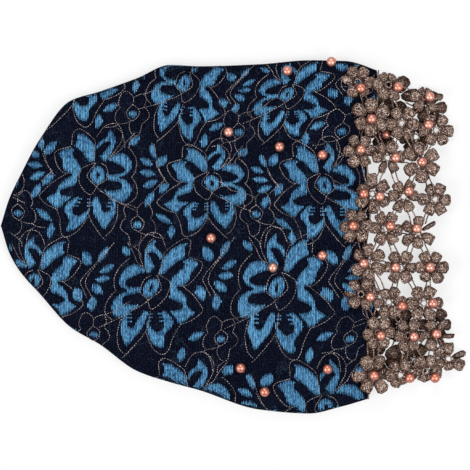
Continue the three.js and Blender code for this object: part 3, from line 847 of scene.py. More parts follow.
# The flowers that differ: layer, row and place, then how much bigger their petals are, and how far
# they lie from their place in x and y
DIFFERING = {
    ("top", 1, 0): (1.18, 1, 0),
    ("top", 2, 2): (1.2, 0, 0),
    ("top", 3, 0): (1.18, 2.5, 0),
    ("top", 5, 0): (1.15, 2, 0),
    ("top", 6, 2): (1.08, 2.5, 0),
    ("top", 8, 0): (1.2, 0, 0),
    ("left", 0, 1): (1.3, -2, -1),
    ("right", 0, 0): (1.2, 0, 0),
}
AS_PLANNED = (1.0, 0, 0)
# Flowers turned by half a petal
TURNED = [("top", 1, 0), ("top", 2, 2), ("top", 3, 0), ("top", 4, 2), ("top", 5, 0)]
TURNED += [("right", 0, 0), ("right", 0, 2)]
# Petals that stand up, fold over or hang down past a side fold: by layer, row, place and petal, the
# degrees about the petal's length and its root, and the share of its length that shows
BENT = {
    ("top", 0, 1): {1: (0, -35, 1.0), 2: (0, -35, 1.0)},
    ("top", 0, 2): {0: (62, 4, 1.0), 1: (12, -20, 0.6), 2: (-10, -20, 0.66), 5: (-35, 10, 1.0)},
    ("top", 2, 1): {4: (-40, 8, 1.0)},
    ("top", 3, 0): {2: (-30, 14, 1.0)},
    ("top", 4, 2): {0: (68, 6, 1.15), 1: (6, 10, 0.95), 2: (28, 8, 1.08), 3: (-28, 8, 1.08)}
    | {5: (-12, 0, 1.12)},
    ("top", 5, 0): {2: (35, 8, 1.0)},
    ("top", 6, 0): {2: (-48, 12, 1.0), 3: (58, 6, 1.0)},
    ("top", 7, 2): {0: (66, 2, 1.15), 1: (45, 12, 1.0), 5: (70, 8, 0.8)},
    ("top", 8, 1): {4: (0, -12, 0.85), 5: (10, -14, 0.62)},
    ("top", 8, 2): {4: (0, -12, 0.64), 5: (20, -12, 0.66)},
    ("right", 0, 2): {0: (60, 6, 1.1), 4: (20, 20, 0.75)},
}


# A flower is seated by the heights that the CAD trim has at these distances from its middle, looked
# down on from above the whole cap, and then lies this much lower than they do
SEAT_REACHES = (6.5, 9.5)
ABOVE_ALL = 90
SEAT_DROP = 0.6
SEAT_MISS = (0.35, 0.7)  # heights further off the plane than this, and than this share of them, go
UNDER_HEIGHT = 1.1  # where a flower beneath lies


def faces_of(name):
    """A search tree of the triangles of a CAD node, in metres."""
    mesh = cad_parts[name].data
    points = np.empty(len(mesh.vertices) * 3, np.float32)
    mesh.vertices.foreach_get("co", points)
    corners = np.empty(len(mesh.loops), np.int32)
    mesh.loops.foreach_get("vertex_index", corners)
    return BVHTree.FromPolygons(points.reshape(-1, 3).tolist(), corners.reshape(-1, 3).tolist())


def seat_plane(tree, x, y):
    """The plane that a flower lies on: heights of the CAD trim over its petals, and the plane of least
    squares through them, fitted again without those that another flower covers."""
    places = []
    for turn in np.arange(12) * np.pi / 6:
        for reach in SEAT_REACHES:
            out, aside = reach * math.cos(turn), reach * math.sin(turn)
            above = to_frame([x + out, y + aside, ABOVE_ALL])
            hit = tree.ray_cast(Vector(above), Vector((0, 0, -1)))[0]
            if hit is not None:
                places.append((out, aside, hit.z / MM))
    places = np.array(places)
    for _ in range(3):
        flat = np.column_stack([places[:, :2], np.ones(len(places))])
        plane, *_ = np.linalg.lstsq(flat, places[:, 2], rcond=None)
        miss = np.abs(places[:, 2] - flat @ plane)
        places = places[miss <= max(SEAT_MISS[0], np.quantile(miss, SEAT_MISS[1]))]
    return plane


def trim_flowers():
    """Every flower of the trim, with its middle and its x, y and up axes."""
    tree = faces_of("lace_trim")
    flowers = []
    for layer, rows in LAYERS.items():
        for row, places in enumerate(rows):
            for place, (x, y) in enumerate(places):
                slope_x, slope_y, height = (0, 0, UNDER_HEIGHT)
                if layer == "top":
                    slope_x, slope_y, height = seat_plane(tree, x, y) - [0, 0, SEAT_DROP]
                up = unit(np.array([-slope_x, -slope_y, 1.0]))
                across = unit(np.cross(up, [1.0, 0, 0]))
                axes = np.stack([np.cross(across, up), across, up])
                where = (layer, row, place)
                _, *move = DIFFERING.get(where, AS_PLANNED)
                flowers.append(Flower(where, np.array([x, y, height]) + move @ axes[:2], axes))
    return flowers


def turned(vectors, axis, angle):
    """Each vector turned about its axis by its angle, by Rodrigues' formula."""
    angle = np.asarray(angle)[..., None]
    swing = np.cross(axis, vectors) * np.sin(angle)
    along = axis * (vectors * axis).sum(-1, keepdims=True) * (1 - np.cos(angle))
    return vectors * np.cos(angle) + swing + along


def petal_frames(flowers, rng):
    """Where each petal goes: its root, its ways along, across and up, and its two scales."""
    roots, alongs, ups, lengths = [], [], [], []
    for where, middle, axes in flowers:
        turn = (np.arange(PETALS_ROUND) + (0.5 if where in TURNED else 0)) * 2 * np.pi / PETALS_ROUND
        turn = turn + rng.normal(0, PETAL_TURN, PETALS_ROUND)
        along = np.cos(turn)[:, None] * axes[0] + np.sin(turn)[:, None] * axes[1]
        up = np.broadcast_to(axes[2], along.shape)
        loose = 1.0 if where[0] == "top" else UNDER_LOOSE
        roll = np.radians(rng.normal(*PETAL_ROLL, PETALS_ROUND)) * loose
        pitch = np.radians(rng.normal(*PETAL_PITCH, PETALS_ROUND)) * loose
        length = np.full(PETALS_ROUND, DIFFERING.get(where, AS_PLANNED)[0])
        for petal, (*angles, share) in BENT.get(where, {}).items():
            roll[petal], pitch[petal] = np.radians(angles)
            length[petal] = share
        across = np.cross(up, along)
        lifted = turned(along, across, -pitch)
        roots.append(np.broadcast_to(middle, along.shape))
        alongs.append(lifted)
        ups.append(turned(np.cross(lifted, across), lifted, roll))
        lengths.append(length)
    roots, alongs, ups, lengths = (np.concatenate(part) for part in (roots, alongs, ups, lengths))
    size = rng.uniform(*PETAL_SIZE, len(roots))
    scales = np.stack([size * lengths, size * lengths**0.5], axis=1)
    return roots, alongs, np.cross(ups, alongs), ups, scales


def blunt(wave):
    """A sine or cosine drawn towards its ends, which squares the oval that it makes."""
    return np.sign(wave) * np.abs(wave) ** PETAL_BLUNT


def bell(value, middle, width):
    return np.exp(-(((value - middle) / width) ** 2))


def lace_petals(flowers, seed):
    """A petal is a rounded pad over turns and shares of the way out: its outline a blunt oval that
    narrows to its root and has three shallow lobes, its face a low dome, a groove and a corded rim,
    with stitch ridges across."""
    rng = np.random.default_rng(seed)
    roots, *ways, scales = petal_frames(flowers, rng)
    count = len(roots)
    # The flowers beneath the others are painted darker, as shade from those above
    lit = [1.0 if where[0] == "top" or where == OPEN_BELOW else UNDER_LIT for where, *_ in flowers]
    lit = np.repeat(lit, PETALS_ROUND)[:, None, None]
    turn = np.linspace(2 * np.pi, 0, PETAL_COLUMNS, endpoint=False)[None, None, :]
    share = np.array(FACE_ROWS + UNDER_ROWS)[None, :, None]
    on_face = (np.arange(share.size) < len(FACE_ROWS))[None, :, None]
    phase = rng.uniform(0, 2 * np.pi, (3, count, 1, 1))
    to_root = (1 - np.cos(turn)) / 2
    lobes = rng.uniform(*PETAL_LOBES, (count, 1, 1)) * np.cos(5 * turn + 0.5 * np.sin(phase[0]))
    scallops = PETAL_SCALLOPS * np.cos(STITCHES_ROUND * turn + phase[1])
    reach = share * (1 + (lobes * (1 - to_root) + scallops) * share**2)
    narrow = 1 - rng.uniform(*PETAL_NARROWS, (count, 1, 1)) * to_root
    middle, half_length = (PETAL_TIP + PETAL_ROOT) / 2, (PETAL_TIP - PETAL_ROOT) / 2
    out = middle + half_length * reach * blunt(np.cos(turn))
    side = PETAL_HALF_WIDTH * reach * narrow * blunt(np.sin(turn))
    rim = CORD_RIM * bell(share, *RIM_AT)
    groove = GROOVE * bell(share, *GROOVE_AT)
    ridges = RIDGES_ACROSS * np.cos(STITCHES_ROUND * turn + phase[2]) * share
    ridges = ridges + RIDGES_ALONG * np.cos(4 * out + phase[1])
    knots = rng.normal(0, STITCH_ROUGHNESS, (count, share.size, PETAL_COLUMNS))
    dome = FACE_HEIGHT * (1 - DOME_FALL * share**2)
    top = (dome + rim - groove + ridges + knots) * np.where(share < 0.99, 1, EDGE_THIN)
    cup = CUP * side**2 + CURL * (out - PETAL_ROOT) ** 2 * rng.uniform(-1, 1, (count, 1, 1))
    height = np.where(on_face, top, -UNDERSIDE) + cup
    # The shade attribute is painted light and shade: lighter on the rim and the bumps of the stitches,
    # darker in the groove, at the edge, towards the root, on the flowers beneath and at the underside's
    # edge
    plain, by_rim, by_groove, by_knots = FACE_SHADES
    shade = plain + by_rim * rim + by_groove * groove + ridges + by_knots * knots
    shade = shade * (1 - smoothstep(share, *DARK_EDGE))
    shade = shade * (DARK_ROOT_SHADE + (1 - DARK_ROOT_SHADE) * smoothstep(out, *DARK_ROOT)) * lit
    beneath = UNDER_SHADES[0] + UNDER_SHADES[1] * (1 - share) * lit
    shade = np.where(on_face, np.clip(shade, 0, 1), beneath)

    def with_middles(grid, face, under):
        """A value over every petal's grid, then those of the middles of its face and underside."""
        middles = np.broadcast_to([face, under], (count, 2))
        return np.concatenate([grid.reshape(count, -1), middles], axis=1)

    out = with_middles(out, middle, middle) * scales[:, :1]
    side = with_middles(side, 0, 0) * scales[:, 1:]
    height = with_middles(height, FACE_HEIGHT, -UNDERSIDE)
    moves = zip((out, side, height), ways)
    points = roots[:, None] + sum(size[..., None] * way[:, None] for size, way in moves)
    points[..., 2] = np.maximum(points[..., 2], TABLE_GAP)
    size = (share.size, PETAL_COLUMNS)
    shapes = Shapes()
    shade = with_middles(shade, MIDDLE_SHADE, MIDDLE_SHADE)
    shapes.repeat(points, grid_quads(*size), end_fans(*size), shade=shade)
    return shapes


def on_flower(flower, x, y):
    """The point over (x, y) of the plane that a flower lies on."""
    middle, up = flower.middle, flower.axes[2]
    return np.array([x, y, middle[2] - (up[0] * (x - middle[0]) + up[1] * (y - middle[1])) / up[2]])


def lay_cord(shapes, path, shade):
    """A cord along a path, never deeper than on what the cap lies on."""
    path[:, 2] = np.maximum(path[:, 2], CORD)
    shapes.tube(path, CORD, sides=6, shade=shade)


def pair_of_bars(shapes, a, b, rng):
    """Two thin cords from flower to flower, side by side, bowed apart and sagging a little."""
    run = unit((b.middle - a.middle)[:2])
    side = np.array([-run[1], run[0]])
    start = on_flower(a, *(a.middle[:2] + run * BAR_ROOT))
    end = on_flower(b, *(b.middle[:2] - run * BAR_ROOT))
    t = np.linspace(0, 1, 7)[:, None]
    bow = np.sin(np.pi * t)
    for hand in (-1, 1):
        apart = hand * (BAR_APART + rng.uniform(*BAR_DRIFT) + bow * rng.uniform(*BAR_BOW))
        apart = apart + BAR_WAVE * np.sin(7 * t + rng.uniform(0, 6))
        aside = np.concatenate([apart * side, BAR_LIFT - bow * BAR_SAG], axis=1)
        lay_cord(shapes, start * (1 - t) + end * t + aside, rng.uniform(*BAR_SHADES))


def fold_cord(shapes, top, under, side):
    """A cord from an outer petal over the side fold's edge to the flower beneath."""
    middle = (top.middle[0] + under.middle[0]) / 2
    start = on_flower(top, middle + FOLD_SLANT, top.middle[1] + side * FOLD_ROOT)
    end = on_flower(under, middle - FOLD_SLANT, under.middle[1] + side * FOLD_ROOT)
    out = (start + end) / 2 + [0, side * FOLD_OUT[0], FOLD_OUT[1]]
    lay_cord(shapes, evenly(smooth_curve([start, out, end]), FOLD_STEP)[0], FOLD_SHADE)


def hem_cord(shapes):
    """The heading cord that the flowers are sewn to: it runs round the whole hem, just off its edge,
    and weaves out and up by a sine of y."""
    a = np.linspace(-HEM_CORD_END, HEM_CORD_END, HEM_CORD_POINTS)
    path = cap_point(np.zeros(len(a)), a)
    for axis, (off, swing, pace) in ((0, HEM_CORD_OUT), (2, HEM_CORD_UP)):
        path[:, axis] += off + swing * np.sin(path[:, 1] / pace)
    lay_cord(shapes, path, HEM_CORD_SHADE)


def lace_cords(flowers, seed):
    """What joins the flowers: the ring in each one's middle, the bars, and the fold and hem cords."""
    rng = np.random.default_rng(seed)
    shapes = Shapes()
    turn = np.linspace(0, 2 * np.pi, 15)[:, None]
    for _, middle, axes in flowers:
        ring = EYE_RING + RING_SWELLS * np.cos(3 * turn + rng.uniform(0, 6))
        path = middle + ring * (np.cos(turn) * axes[0] + np.sin(turn) * axes[1]) + RING_LIFT * axes[2]
        shapes.tube(path, RING_CORD, axes[2], sides=6, shade=RING_SHADE)
    for a in flowers:
        for b in flowers:
            (layer, row, place), (layer_b, row_b, place_b) = a.where, b.where
            next_place = row == row_b and place_b == place + 1
            next_row = row_b == row + 1 and np.hypot(*(b.middle - a.middle)[:2]) < LINK_REACH
            if layer == layer_b and (next_place or next_row):
                pair_of_bars(shapes, a, b, rng)
    by_place = {flower.where: flower for flower in flowers}
    for place in (1, 2):
        fold_cord(shapes, by_place["top", 0, place], by_place["left", 0, place], 1)
        fold_cord(shapes, by_place["top", len(TOP_ROWS) - 1, place], by_place["right", 0, place], -1)
    hem_cord(shapes)
    return shapes


# ---- Pearls ----

PEARL_COLUMNS = 28
PEARL_ROWS = 17
PEARL_LIP = 1.25  # where the ball gives way to the lip of its bore, in the bore's own angle
PEARL_CLEARANCE = 0.28  # between a pearl's node and what carries it, which the pearl fills
PEARL_DIP = 0.25  # how far a bore leans from level, in radians
BORE = 0.5
# A bore from its depth to its lip: shares of the bore's radius and of the pearl's
BORE_WAY = np.array([(0.55, 0.72), (0.9, 0.9), (0.98, 0.968)])
BORE_DEPTH = 0.7
# The way of a stitch from the bore down to the ground: out along the bore and down, in radii, and
# further down in millimetres
STITCH_WAY = [(0.8, 0, 0), (1.05, 0, 0.2), (0.95, 0.6, 0), (0.45, 1, 0.1)]
STITCH = 0.2


def pearl_profile(radius):
    """Half a pearl's section along its bore: into the bore, over its lip and round the ball."""
    lip = PEARL_LIP * math.asin(BORE / radius)
    turn = np.linspace(lip, np.pi - lip, PEARL_ROWS)
    ball = radius * np.stack([np.sin(turn), -np.cos(turn)], axis=1)
    bore = BORE_WAY * [BORE, radius]
    return np.concatenate([bore * [1, -1], ball, bore[::-1]])


def pearls(names, seed):
    """Each pearl is its profile turned about its bore, which lies nearly level, and each is sewn down
    by a thread that leaves the bore at both ends."""
    rng = np.random.default_rng(seed)
    balls, threads = Shapes(), Shapes()
    turn = np.linspace(0, 2 * np.pi, PEARL_COLUMNS, endpoint=False)[:, None]
    for name in names:
        low, high = np.array(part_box(name)) / MM
        middle = (low + high) / 2 - SHIFT
        radius = (high - low).max() / 2 + PEARL_CLEARANCE
        heading = rng.uniform(0, 2 * np.pi)
        dip = rng.uniform(-PEARL_DIP, PEARL_DIP)
        level = math.cos(dip)
        bore = np.array([math.cos(heading) * level, math.sin(heading) * level, math.sin(dip)])
        side = unit(np.cross([0, 0, 1.0], bore))
        around = np.cos(turn) * side + np.sin(turn) * np.cross(bore, side)
        profile = pearl_profile(radius)
        rings = middle + profile[:, :1, None] * around + profile[:, 1:, None] * bore
        depth = BORE_DEPTH * radius * bore
        balls.closed(rings, [middle - depth, middle + depth], 0, rng.uniform())
        for out in (-radius * bore, radius * bore):
            share, down, more = np.array(STITCH_WAY).T[..., None]
            way = middle + share * out - (down * radius + more) * [0, 0, 1]
            threads.tube(smooth_curve(way, 3), STITCH, side + 0.01)
    return balls, threads


# ---- Materials ----

DASH = 1.8  # millimetres from one dip of the metallic thread to the next
WEFT = 2.4  # crossing weft threads to a rib
# How fine each pattern is, in repeats to a metre
CLOTH_LIE = 45.0
FLOAT_LIE = 38.0
PEARL_LIE = 170.0
SCROLLS = 55.0
SCROLL_BREAKS = 900.0
FILAMENTS = 1300.0
SPARKLE_GRAIN = 1000.0
THREAD_SPECKS = 700.0
THREAD_FADES = 110.0
YARN_GAP_NOISE = 160.0
FLOOR_MOTTLE = 30.0
FLOOR_DARKER = 0.985
# How deep the relief of each is, in metres
WEAVE_DEPTH = 0.12 * MM
FILAMENT_DEPTH = 0.2 * MM
YARN_DEPTH = 0.3 * MM


class Nodes:
    """Short ways to add and join the nodes of one material or group."""

    def __init__(self, tree):
        self.tree = tree

    def put(self, value, socket):
        """Links another node's output to a socket, or sets the socket to a number or colour."""
        if isinstance(value, bpy.types.NodeSocket):
            self.tree.links.new(value, socket)
        elif socket.type == "RGBA":
            socket.default_value = (*value[:3], 1.0)
        else:
            socket.default_value = value

    def add(self, kind, inputs=(), **settings):
        node = self.tree.nodes.new(kind)
        for name, value in settings.items():
            setattr(node, name, value)
        for name, value in dict(inputs).items():
            self.put(value, node.inputs[name])
        return node

    def feed(self, shader, **sockets):
        """Puts each value on the shader's socket of that name, where _ stands for a space."""
        for name, value in sockets.items():
            self.put(value, shader.inputs[name.replace("_", " ")])

    def math(self, operation, a, b=0.0, clamp=False):
        return self.add("ShaderNodeMath", {0: a, 1: b}, operation=operation, use_clamp=clamp).outputs[0]

    def times(self, a, b):
        return self.math("MULTIPLY", a, b)

    def plus(self, a, b):
        return self.math("ADD", a, b)

    def about_zero(self, value, size):
        """A value from 0 to 1 as one about 0, of a size."""
        return self.times(self.math("SUBTRACT", value, 0.5), size)

    def spread(self, value, low, high, to_low=0.0, to_high=1.0):
        inputs = {"Value": value, "From Min": low, "From Max": high, "To Min": to_low, "To Max": to_high}
        return self.add("ShaderNodeMapRange", inputs).outputs["Result"]

    def mix(self, share, a, b):
        return self.add("ShaderNodeMix", {0: share, 6: a, 7: b}, data_type="RGBA").outputs[2]

    def noise(self, place, scale, detail=1.0, distortion=0.0):
        inputs = {"Vector": place, "Scale": scale, "Detail": detail, "Distortion": distortion}
        return self.add("ShaderNodeTexNoise", inputs).outputs["Fac"]

    def bump(self, height, strength, distance):
        inputs = {"Height": height, "Strength": strength, "Distance": distance}
        return self.add("ShaderNodeBump", inputs).outputs["Normal"]

    def attribute(self, name):
        return self.add("ShaderNodeAttribute", attribute_name=name).outputs["Fac"]

    def place(self):
        return self.add("ShaderNodeTexCoord").outputs["Object"]

    def group(self, tree, **inputs):
        return self.add("ShaderNodeGroup", inputs, node_tree=tree).outputs


def new_group(name, inputs, outputs):
    """An empty node group with its sockets: inputs are name: (kind, default), outputs name: kind."""
    tree = bpy.data.node_groups.new(name, "ShaderNodeTree")
    for label, (kind, default) in inputs.items():
        socket = tree.interface.new_socket(label, in_out="INPUT", socket_type="NodeSocket" + kind)
        if default is not None:
            socket.default_value = default
    for label, kind in outputs.items():
        tree.interface.new_socket(label, in_out="OUTPUT", socket_type="NodeSocket" + kind)
    nodes = Nodes(tree)
    return tree, nodes, nodes.add("NodeGroupInput").outputs, nodes.add("NodeGroupOutput").inputs


def yarn_group():
    """Spun metallic yarn, mottled: bright specks of metal, lightened as painted glints, and dark gaps
    between the stitches, painted as shade in the crevices.
    """
    colours = {name: ("Color", (0.5, 0.5, 0.5, 1)) for name in ("Gap_shade", "Yarn", "Metal_glint")}
    inputs = {"Vector": ("Vector", None), **colours, "Stitch": ("Float", 1.0)}
    tree, n, given, result = new_group("spun_yarn", inputs, {"Color": "Color", "Height": "Float"})
    place = given["Vector"]
    stitch = n.times(given["Stitch"], 1 / MM)
    cells = n.add("ShaderNodeTexVoronoi", {"Vector": place, "Scale": stitch}, feature="F1")
    uneven_gaps = n.spread(n.noise(place, YARN_GAP_NOISE, 2.0), 0.3, 0.7, 0.45, 1.1)
    # Painted shade: the gaps between stitches darken, more in some places than in others
    gap = n.math("MULTIPLY", n.spread(cells.outputs["Distance"], 0.27, 0.45), uneven_gaps, clamp=True)
    # Painted glints: bright specks of the metal colour
    bright = n.spread(n.noise(place, n.times(stitch, 1.2), 2.0), 0.52, 0.62)
    base = n.mix(gap, given["Yarn"], given["Gap_shade"])
    n.put(n.mix(bright, base, given["Metal_glint"]), result["Color"])
    n.put(n.math("SUBTRACT", n.times(bright, 0.4), gap), result["Height"])
    return tree


def lie_group():
    """The slow unevenness of soft cloth, as a value about 0: two sizes of noise."""
    inputs = {"Vector": ("Vector", None), "Scale": ("Float", 40.0)}
    tree, n, given, result = new_group("cloth_lie", inputs, {"Value": "Float"})
    broad = n.noise(given["Vector"], given["Scale"], 2.0)
    fine = n.noise(given["Vector"], n.times(given["Scale"], 9.0), 4.0)
    n.put(n.math("SUBTRACT", n.plus(broad, n.times(fine, 0.6)), 0.8), result["Value"])
    return tree


def principled(name, **settings):
    """A new material, its nodes and its Principled shader with its constants set on its own sockets."""
    material = bpy.data.materials.new(name)
    material.use_nodes = True
    nodes = Nodes(material.node_tree)
    shader = material.node_tree.nodes["Principled BSDF"]
    nodes.feed(shader, **settings)
    return material, nodes, shader


def ground_material(look, groups):
    """The near-black ground of the brocade: fine upright ribs, crossing weft, faint drawn scrolls."""
    material, n, shader = principled("brocade_ground", Specular_IOR_Level=0.01)
    uv = n.add("ShaderNodeUVMap", uv_map="cloth").outputs["UV"]
    split = n.add("ShaderNodeSeparateXYZ", {"Vector": uv}).outputs
    wave = 2 * math.pi / look.rib_width
    rib = n.math("SINE", n.times(split["X"], wave))
    weft = n.math("SINE", n.times(split["Y"], wave * WEFT))
    uneven = n.group(groups["lie"], Vector=uv, Scale=CLOTH_LIE)["Value"]
    scroll = n.math("ABSOLUTE", n.math("SUBTRACT", n.noise(uv, SCROLLS, 1.0, 1.2), 0.5))
    broken = n.noise(uv, SCROLL_BREAKS)
    line = n.times(n.spread(scroll, 0.004, 0.018, 1.0, 0.0), n.spread(broken, 0.45, 0.6, 0.0, 0.5))
    fleck = n.math("MAXIMUM", line, n.spread(broken, 0.58, 0.72, 0.0, 0.4))
    # The ribs and the weft lighten and darken the colour as painted light and shade on the weave, mixed
    # with the cloth's random unevenness
    tone = n.plus(n.plus(n.times(rib, 0.25), n.times(uneven, 0.5)), n.times(weft, 0.12))
    ribbed = n.mix(n.spread(tone, -0.3, 0.7), look.ground_colour, look.ground_light)
    n.feed(
        shader,
        Base_Color=n.mix(fleck, ribbed, look.ground_scroll),
        Roughness=n.spread(uneven, -0.3, 0.3, 0.72, 0.9),
        Normal=n.bump(n.plus(n.times(rib, 0.6), n.times(weft, 0.35)), 0.6, WEAVE_DEPTH),
    )
    return material


def float_material(look, groups):
    """The blue floats: satin yarn whose shade changes from rib to rib, with fine filaments along it and
    a fine grain that is partly painted sparkle highlights.
    """
    material, n, shader = principled("brocade_float", Specular_IOR_Level=0.18)
    place = n.place()
    uneven = n.group(groups["lie"], Vector=place, Scale=FLOAT_LIE)["Value"]
    drawn = n.add("ShaderNodeMapping", {"Vector": place, "Scale": (1.0, 0.3, 0.3)}).outputs["Vector"]
    strand = n.noise(drawn, FILAMENTS)
    sparkle_grain = n.noise(place, SPARKLE_GRAIN)
    tone = n.plus(n.times(n.attribute("shade"), 0.3), n.times(uneven, 0.5))
    # The fine grain lightens specks: partly grain and partly painted sparkle highlights
    tone = n.plus(n.plus(tone, n.about_zero(strand, 1.7)), n.about_zero(sparkle_grain, 0.9))
    n.feed(
        shader,
        Base_Color=n.mix(n.spread(tone, -0.2, 0.62), look.float_dark, look.float_light),
        Roughness=n.spread(sparkle_grain, 0.3, 0.7, 0.5, 0.68),
        Normal=n.bump(strand, 0.5, FILAMENT_DEPTH),
    )
    return material


def thread_material(look):
    """The metallic thread: it dips under the weave every two millimetres or so, and shows as dashes;
    bright specks and slow fades of its light colour are painted glints.
    """
    material, n, shader = principled("metallic_thread", Metallic=0.25, Specular_IOR_Level=0.5)
    place = n.place()
    specks = n.noise(place, THREAD_SPECKS)
    dash = n.math("SINE", n.times(n.attribute("along"), 2 * math.pi / DASH))
    # The dashes are where it dips; the specks and the slow fades are painted glints
    shown = n.spread(n.plus(dash, n.times(specks, 4.0)), 1.6, 3.0)
    shown = n.times(shown, n.spread(n.noise(place, THREAD_FADES), 0.36, 0.6, 0.4, 1.0))
    colour = n.mix(shown, look.thread_dark, look.thread_light)
    n.feed(shader, Base_Color=colour, Roughness=n.spread(specks, 0.3, 0.7, 0.35, 0.6))
    return material


def lace_material(name, look, groups, stitch):
    """Guipure in spun metallic yarn. The shade attribute mixes in the dark colour: on the petals as
    painted shade and highlight, lighter where the corded rims stand up, and on the cords as their darker
    tone.
    """
    material, n, shader = principled(name, Metallic=0.1, Specular_IOR_Level=0.08)
    colours = {"Gap_shade": look.lace_shade_and_dark, "Yarn": look.lace_colour, "Metal_glint": look.lace_metal_glint}
    yarn = n.group(groups["yarn"], Vector=n.place(), Stitch=stitch, **colours)
    shade = n.spread(n.attribute("shade"), 0.1, 0.7, 0.92, 0.0)
    n.feed(
        shader,
        Base_Color=n.mix(shade, yarn["Color"], look.lace_shade_and_dark),
        Roughness=n.spread(yarn["Height"], -1.0, 0.4, 0.75, 0.42),
        Normal=n.bump(yarn["Height"], 0.8, YARN_DEPTH),
    )
    return material


def pearl_material(look, groups):
    """Imitation pearl: a copper rose lacquer, slightly uneven, under a clear coat. It is darker where it
    is
    seen slantwise: partly the lacquer's deeper colour and partly painted shade for the dark reflections
    at its edge."""
    coat = {"Coat_Weight": 0.5, "Coat_Roughness": 0.16}
    material, n, shader = principled("copper_pearl", Metallic=0.75, Specular_IOR_Level=0.5, **coat)
    uneven = n.group(groups["lie"], Vector=n.place(), Scale=PEARL_LIE)["Value"]
    shade = n.spread(n.plus(n.attribute("shade"), uneven), 0.0, 1.0)
    lacquer = n.mix(shade, look.pearl_colour, look.pearl_light)
    slant = n.add("ShaderNodeLayerWeight", {"Blend": 0.5}).outputs["Facing"]
    # Painted shade: the rim, seen slantwise, darkens
    colour = n.mix(n.spread(slant, 0.2, 0.75, 0.0, 0.93), lacquer, look.pearl_rim_shade)
    n.feed(shader, Base_Color=colour, Roughness=n.spread(uneven, -0.3, 0.3, 0.3, 0.37))
    return material


def floor_material(look):
    """A pale sheet lit from beneath as much as from above, so that the shadows on it stay faint."""
    matt = {"Roughness": 0.9, "Specular_IOR_Level": 0.1, "Emission_Color": (1, 1, 1)}
    material, n, shader = principled("pale_floor", **matt)
    grain = n.spread(n.noise(n.place(), FLOOR_MOTTLE, 3.0), 0.3, 0.7)
    darker = [FLOOR_DARKER * channel for channel in look.floor_colour]
    glow = n.times(n.add("ShaderNodeLightPath").outputs["Is Camera Ray"], look.backdrop)
    colour = n.mix(glow, n.mix(grain, darker, look.floor_colour), (0, 0, 0))
    n.feed(shader, Base_Color=colour, Emission_Strength=glow)
    return material


# ---- Sizes and colours to change ----


def number_of(name, description, default, **more):
    return FloatProperty(name=name, description=description, default=default, **more)


def length_of(name, description, default):
    return number_of(name, description, default, unit="LENGTH", precision=5)


def colour_of(name, description, default):
    more = {"subtype": "COLOR", "size": 3, "min": 0, "max": 1}
    return FloatVectorProperty(name=name, description=description, default=default, **more)


class BrocadeSettings(PropertyGroup):
    """Sizes and colours of the brocade cloth."""

    wall: length_of("Wall", "Thickness of the cloth", 0.9 * MM)
    rib_width: length_of("Rib width", "Width of one rib of the weave", 1.2 * MM)
    float_height: length_of("Float height", "How far the woven floats stand up", 0.26 * MM)
    ground_colour: colour_of("Ground", "Near-black navy of the ground", (0.0004, 0.0006, 0.0036))
    ground_light: colour_of("Ground, lit ribs", "Its ribs where they are lit", (0.0095, 0.0115, 0.028))
    ground_scroll: colour_of("Ground, scrolls", "Faint scrolls drawn in the ground", (0.035, 0.06, 0.10))
    float_dark: colour_of("Floats, dark", "The floats in their darker ribs", (0.013, 0.075, 0.195))
    float_light: colour_of("Floats, light", "The floats in their lighter ribs", (0.17, 0.49, 0.80))


class ThreadSettings(PropertyGroup):
    """Sizes and colours of the metallic threads."""

    radius: length_of("Radius", "Radius of the thread", 0.18 * MM)
    lift: length_of("Lift", "How far its middle lies above the cloth", 0.2 * MM)
    step: length_of("Step", "Distance between its points", 1.7 * MM)
    # The thread where it shows, with painted glints
    thread_light: colour_of("Metal_glint", "The thread where it shows", (0.92, 0.79, 0.77))
    thread_dark: colour_of("Dipped", "The thread where it dips into the weave", (0.03, 0.026, 0.035))


class TrimSettings(PropertyGroup):
    """Colours and stitch size of the guipure trim."""

    stitch: number_of("Stitches", "Stitches to a millimetre", 0.95, min=0.2)
    lace_colour: colour_of("Yarn", "The spun yarn", (0.45, 0.29, 0.215))
    # Painted shade in the yarn's gaps and on the petals, and the cords' darker tone
    lace_shade_and_dark: colour_of("Gaps", "The dark between stitches", (0.034, 0.010, 0.005))
    # The metal in the yarn, lightened as a painted glint
    lace_metal_glint: colour_of("Metal_glint", "The metal specks in the yarn", (0.95, 0.78, 0.70))


class PearlSettings(PropertyGroup):
    """Colours of the imitation pearls."""

    pearl_colour: colour_of("Lacquer", "Copper rose lacquer", (0.80, 0.27, 0.18))
    pearl_light: colour_of("Lacquer, light", "The lacquer where it is paler", (0.95, 0.44, 0.34))
    # The dark rim seen slantwise, partly painted shade
    pearl_rim_shade: colour_of("Lacquer, rim", "The lacquer seen slantwise", (0.25, 0.04, 0.025))


class StageSettings(PropertyGroup):
    """The floor, the lights and the camera."""

    floor_size: length_of("Floor", "Side of the floor", 4.0)
    floor_colour: colour_of("Floor colour", "Pale floor", (0.93, 0.93, 0.94))
    camera_height: length_of("Camera height", "How far the camera stands above the table", 2.5)
    view_width: length_of("View width", "Width of the table that the camera sees", 0.3525)
    key_power: number_of("Key", "Power of each full soft light", 15, unit="POWER")
    sky: number_of("Sky", "Strength of the even light all round", 0.3, min=0)
    backdrop: number_of("Backdrop", "Share of the floor's brightness that is its own", 0.7, min=0, max=1)


# ---- The operators, one for each group of pieces ----

SEEDS = {"cloth": 11, "trim": 12, "floats": 21, "threads": 22, "petals": 31, "cords": 32}
CORD_STITCH = 1.4  # stitches on a cord to one on a petal


@functools.cache
def cloth_map():
    return ClothMap()


@functools.cache
def shared_groups():
    return {"yarn": yarn_group(), "lie": lie_group()}


def settle(piece, slot, *nodes):
    """A finished piece rides on the one body and may stand for CAD nodes, which it hides. Its slot is not
    used.
    """
    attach(piece, "root")
    if nodes:
        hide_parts(*nodes)


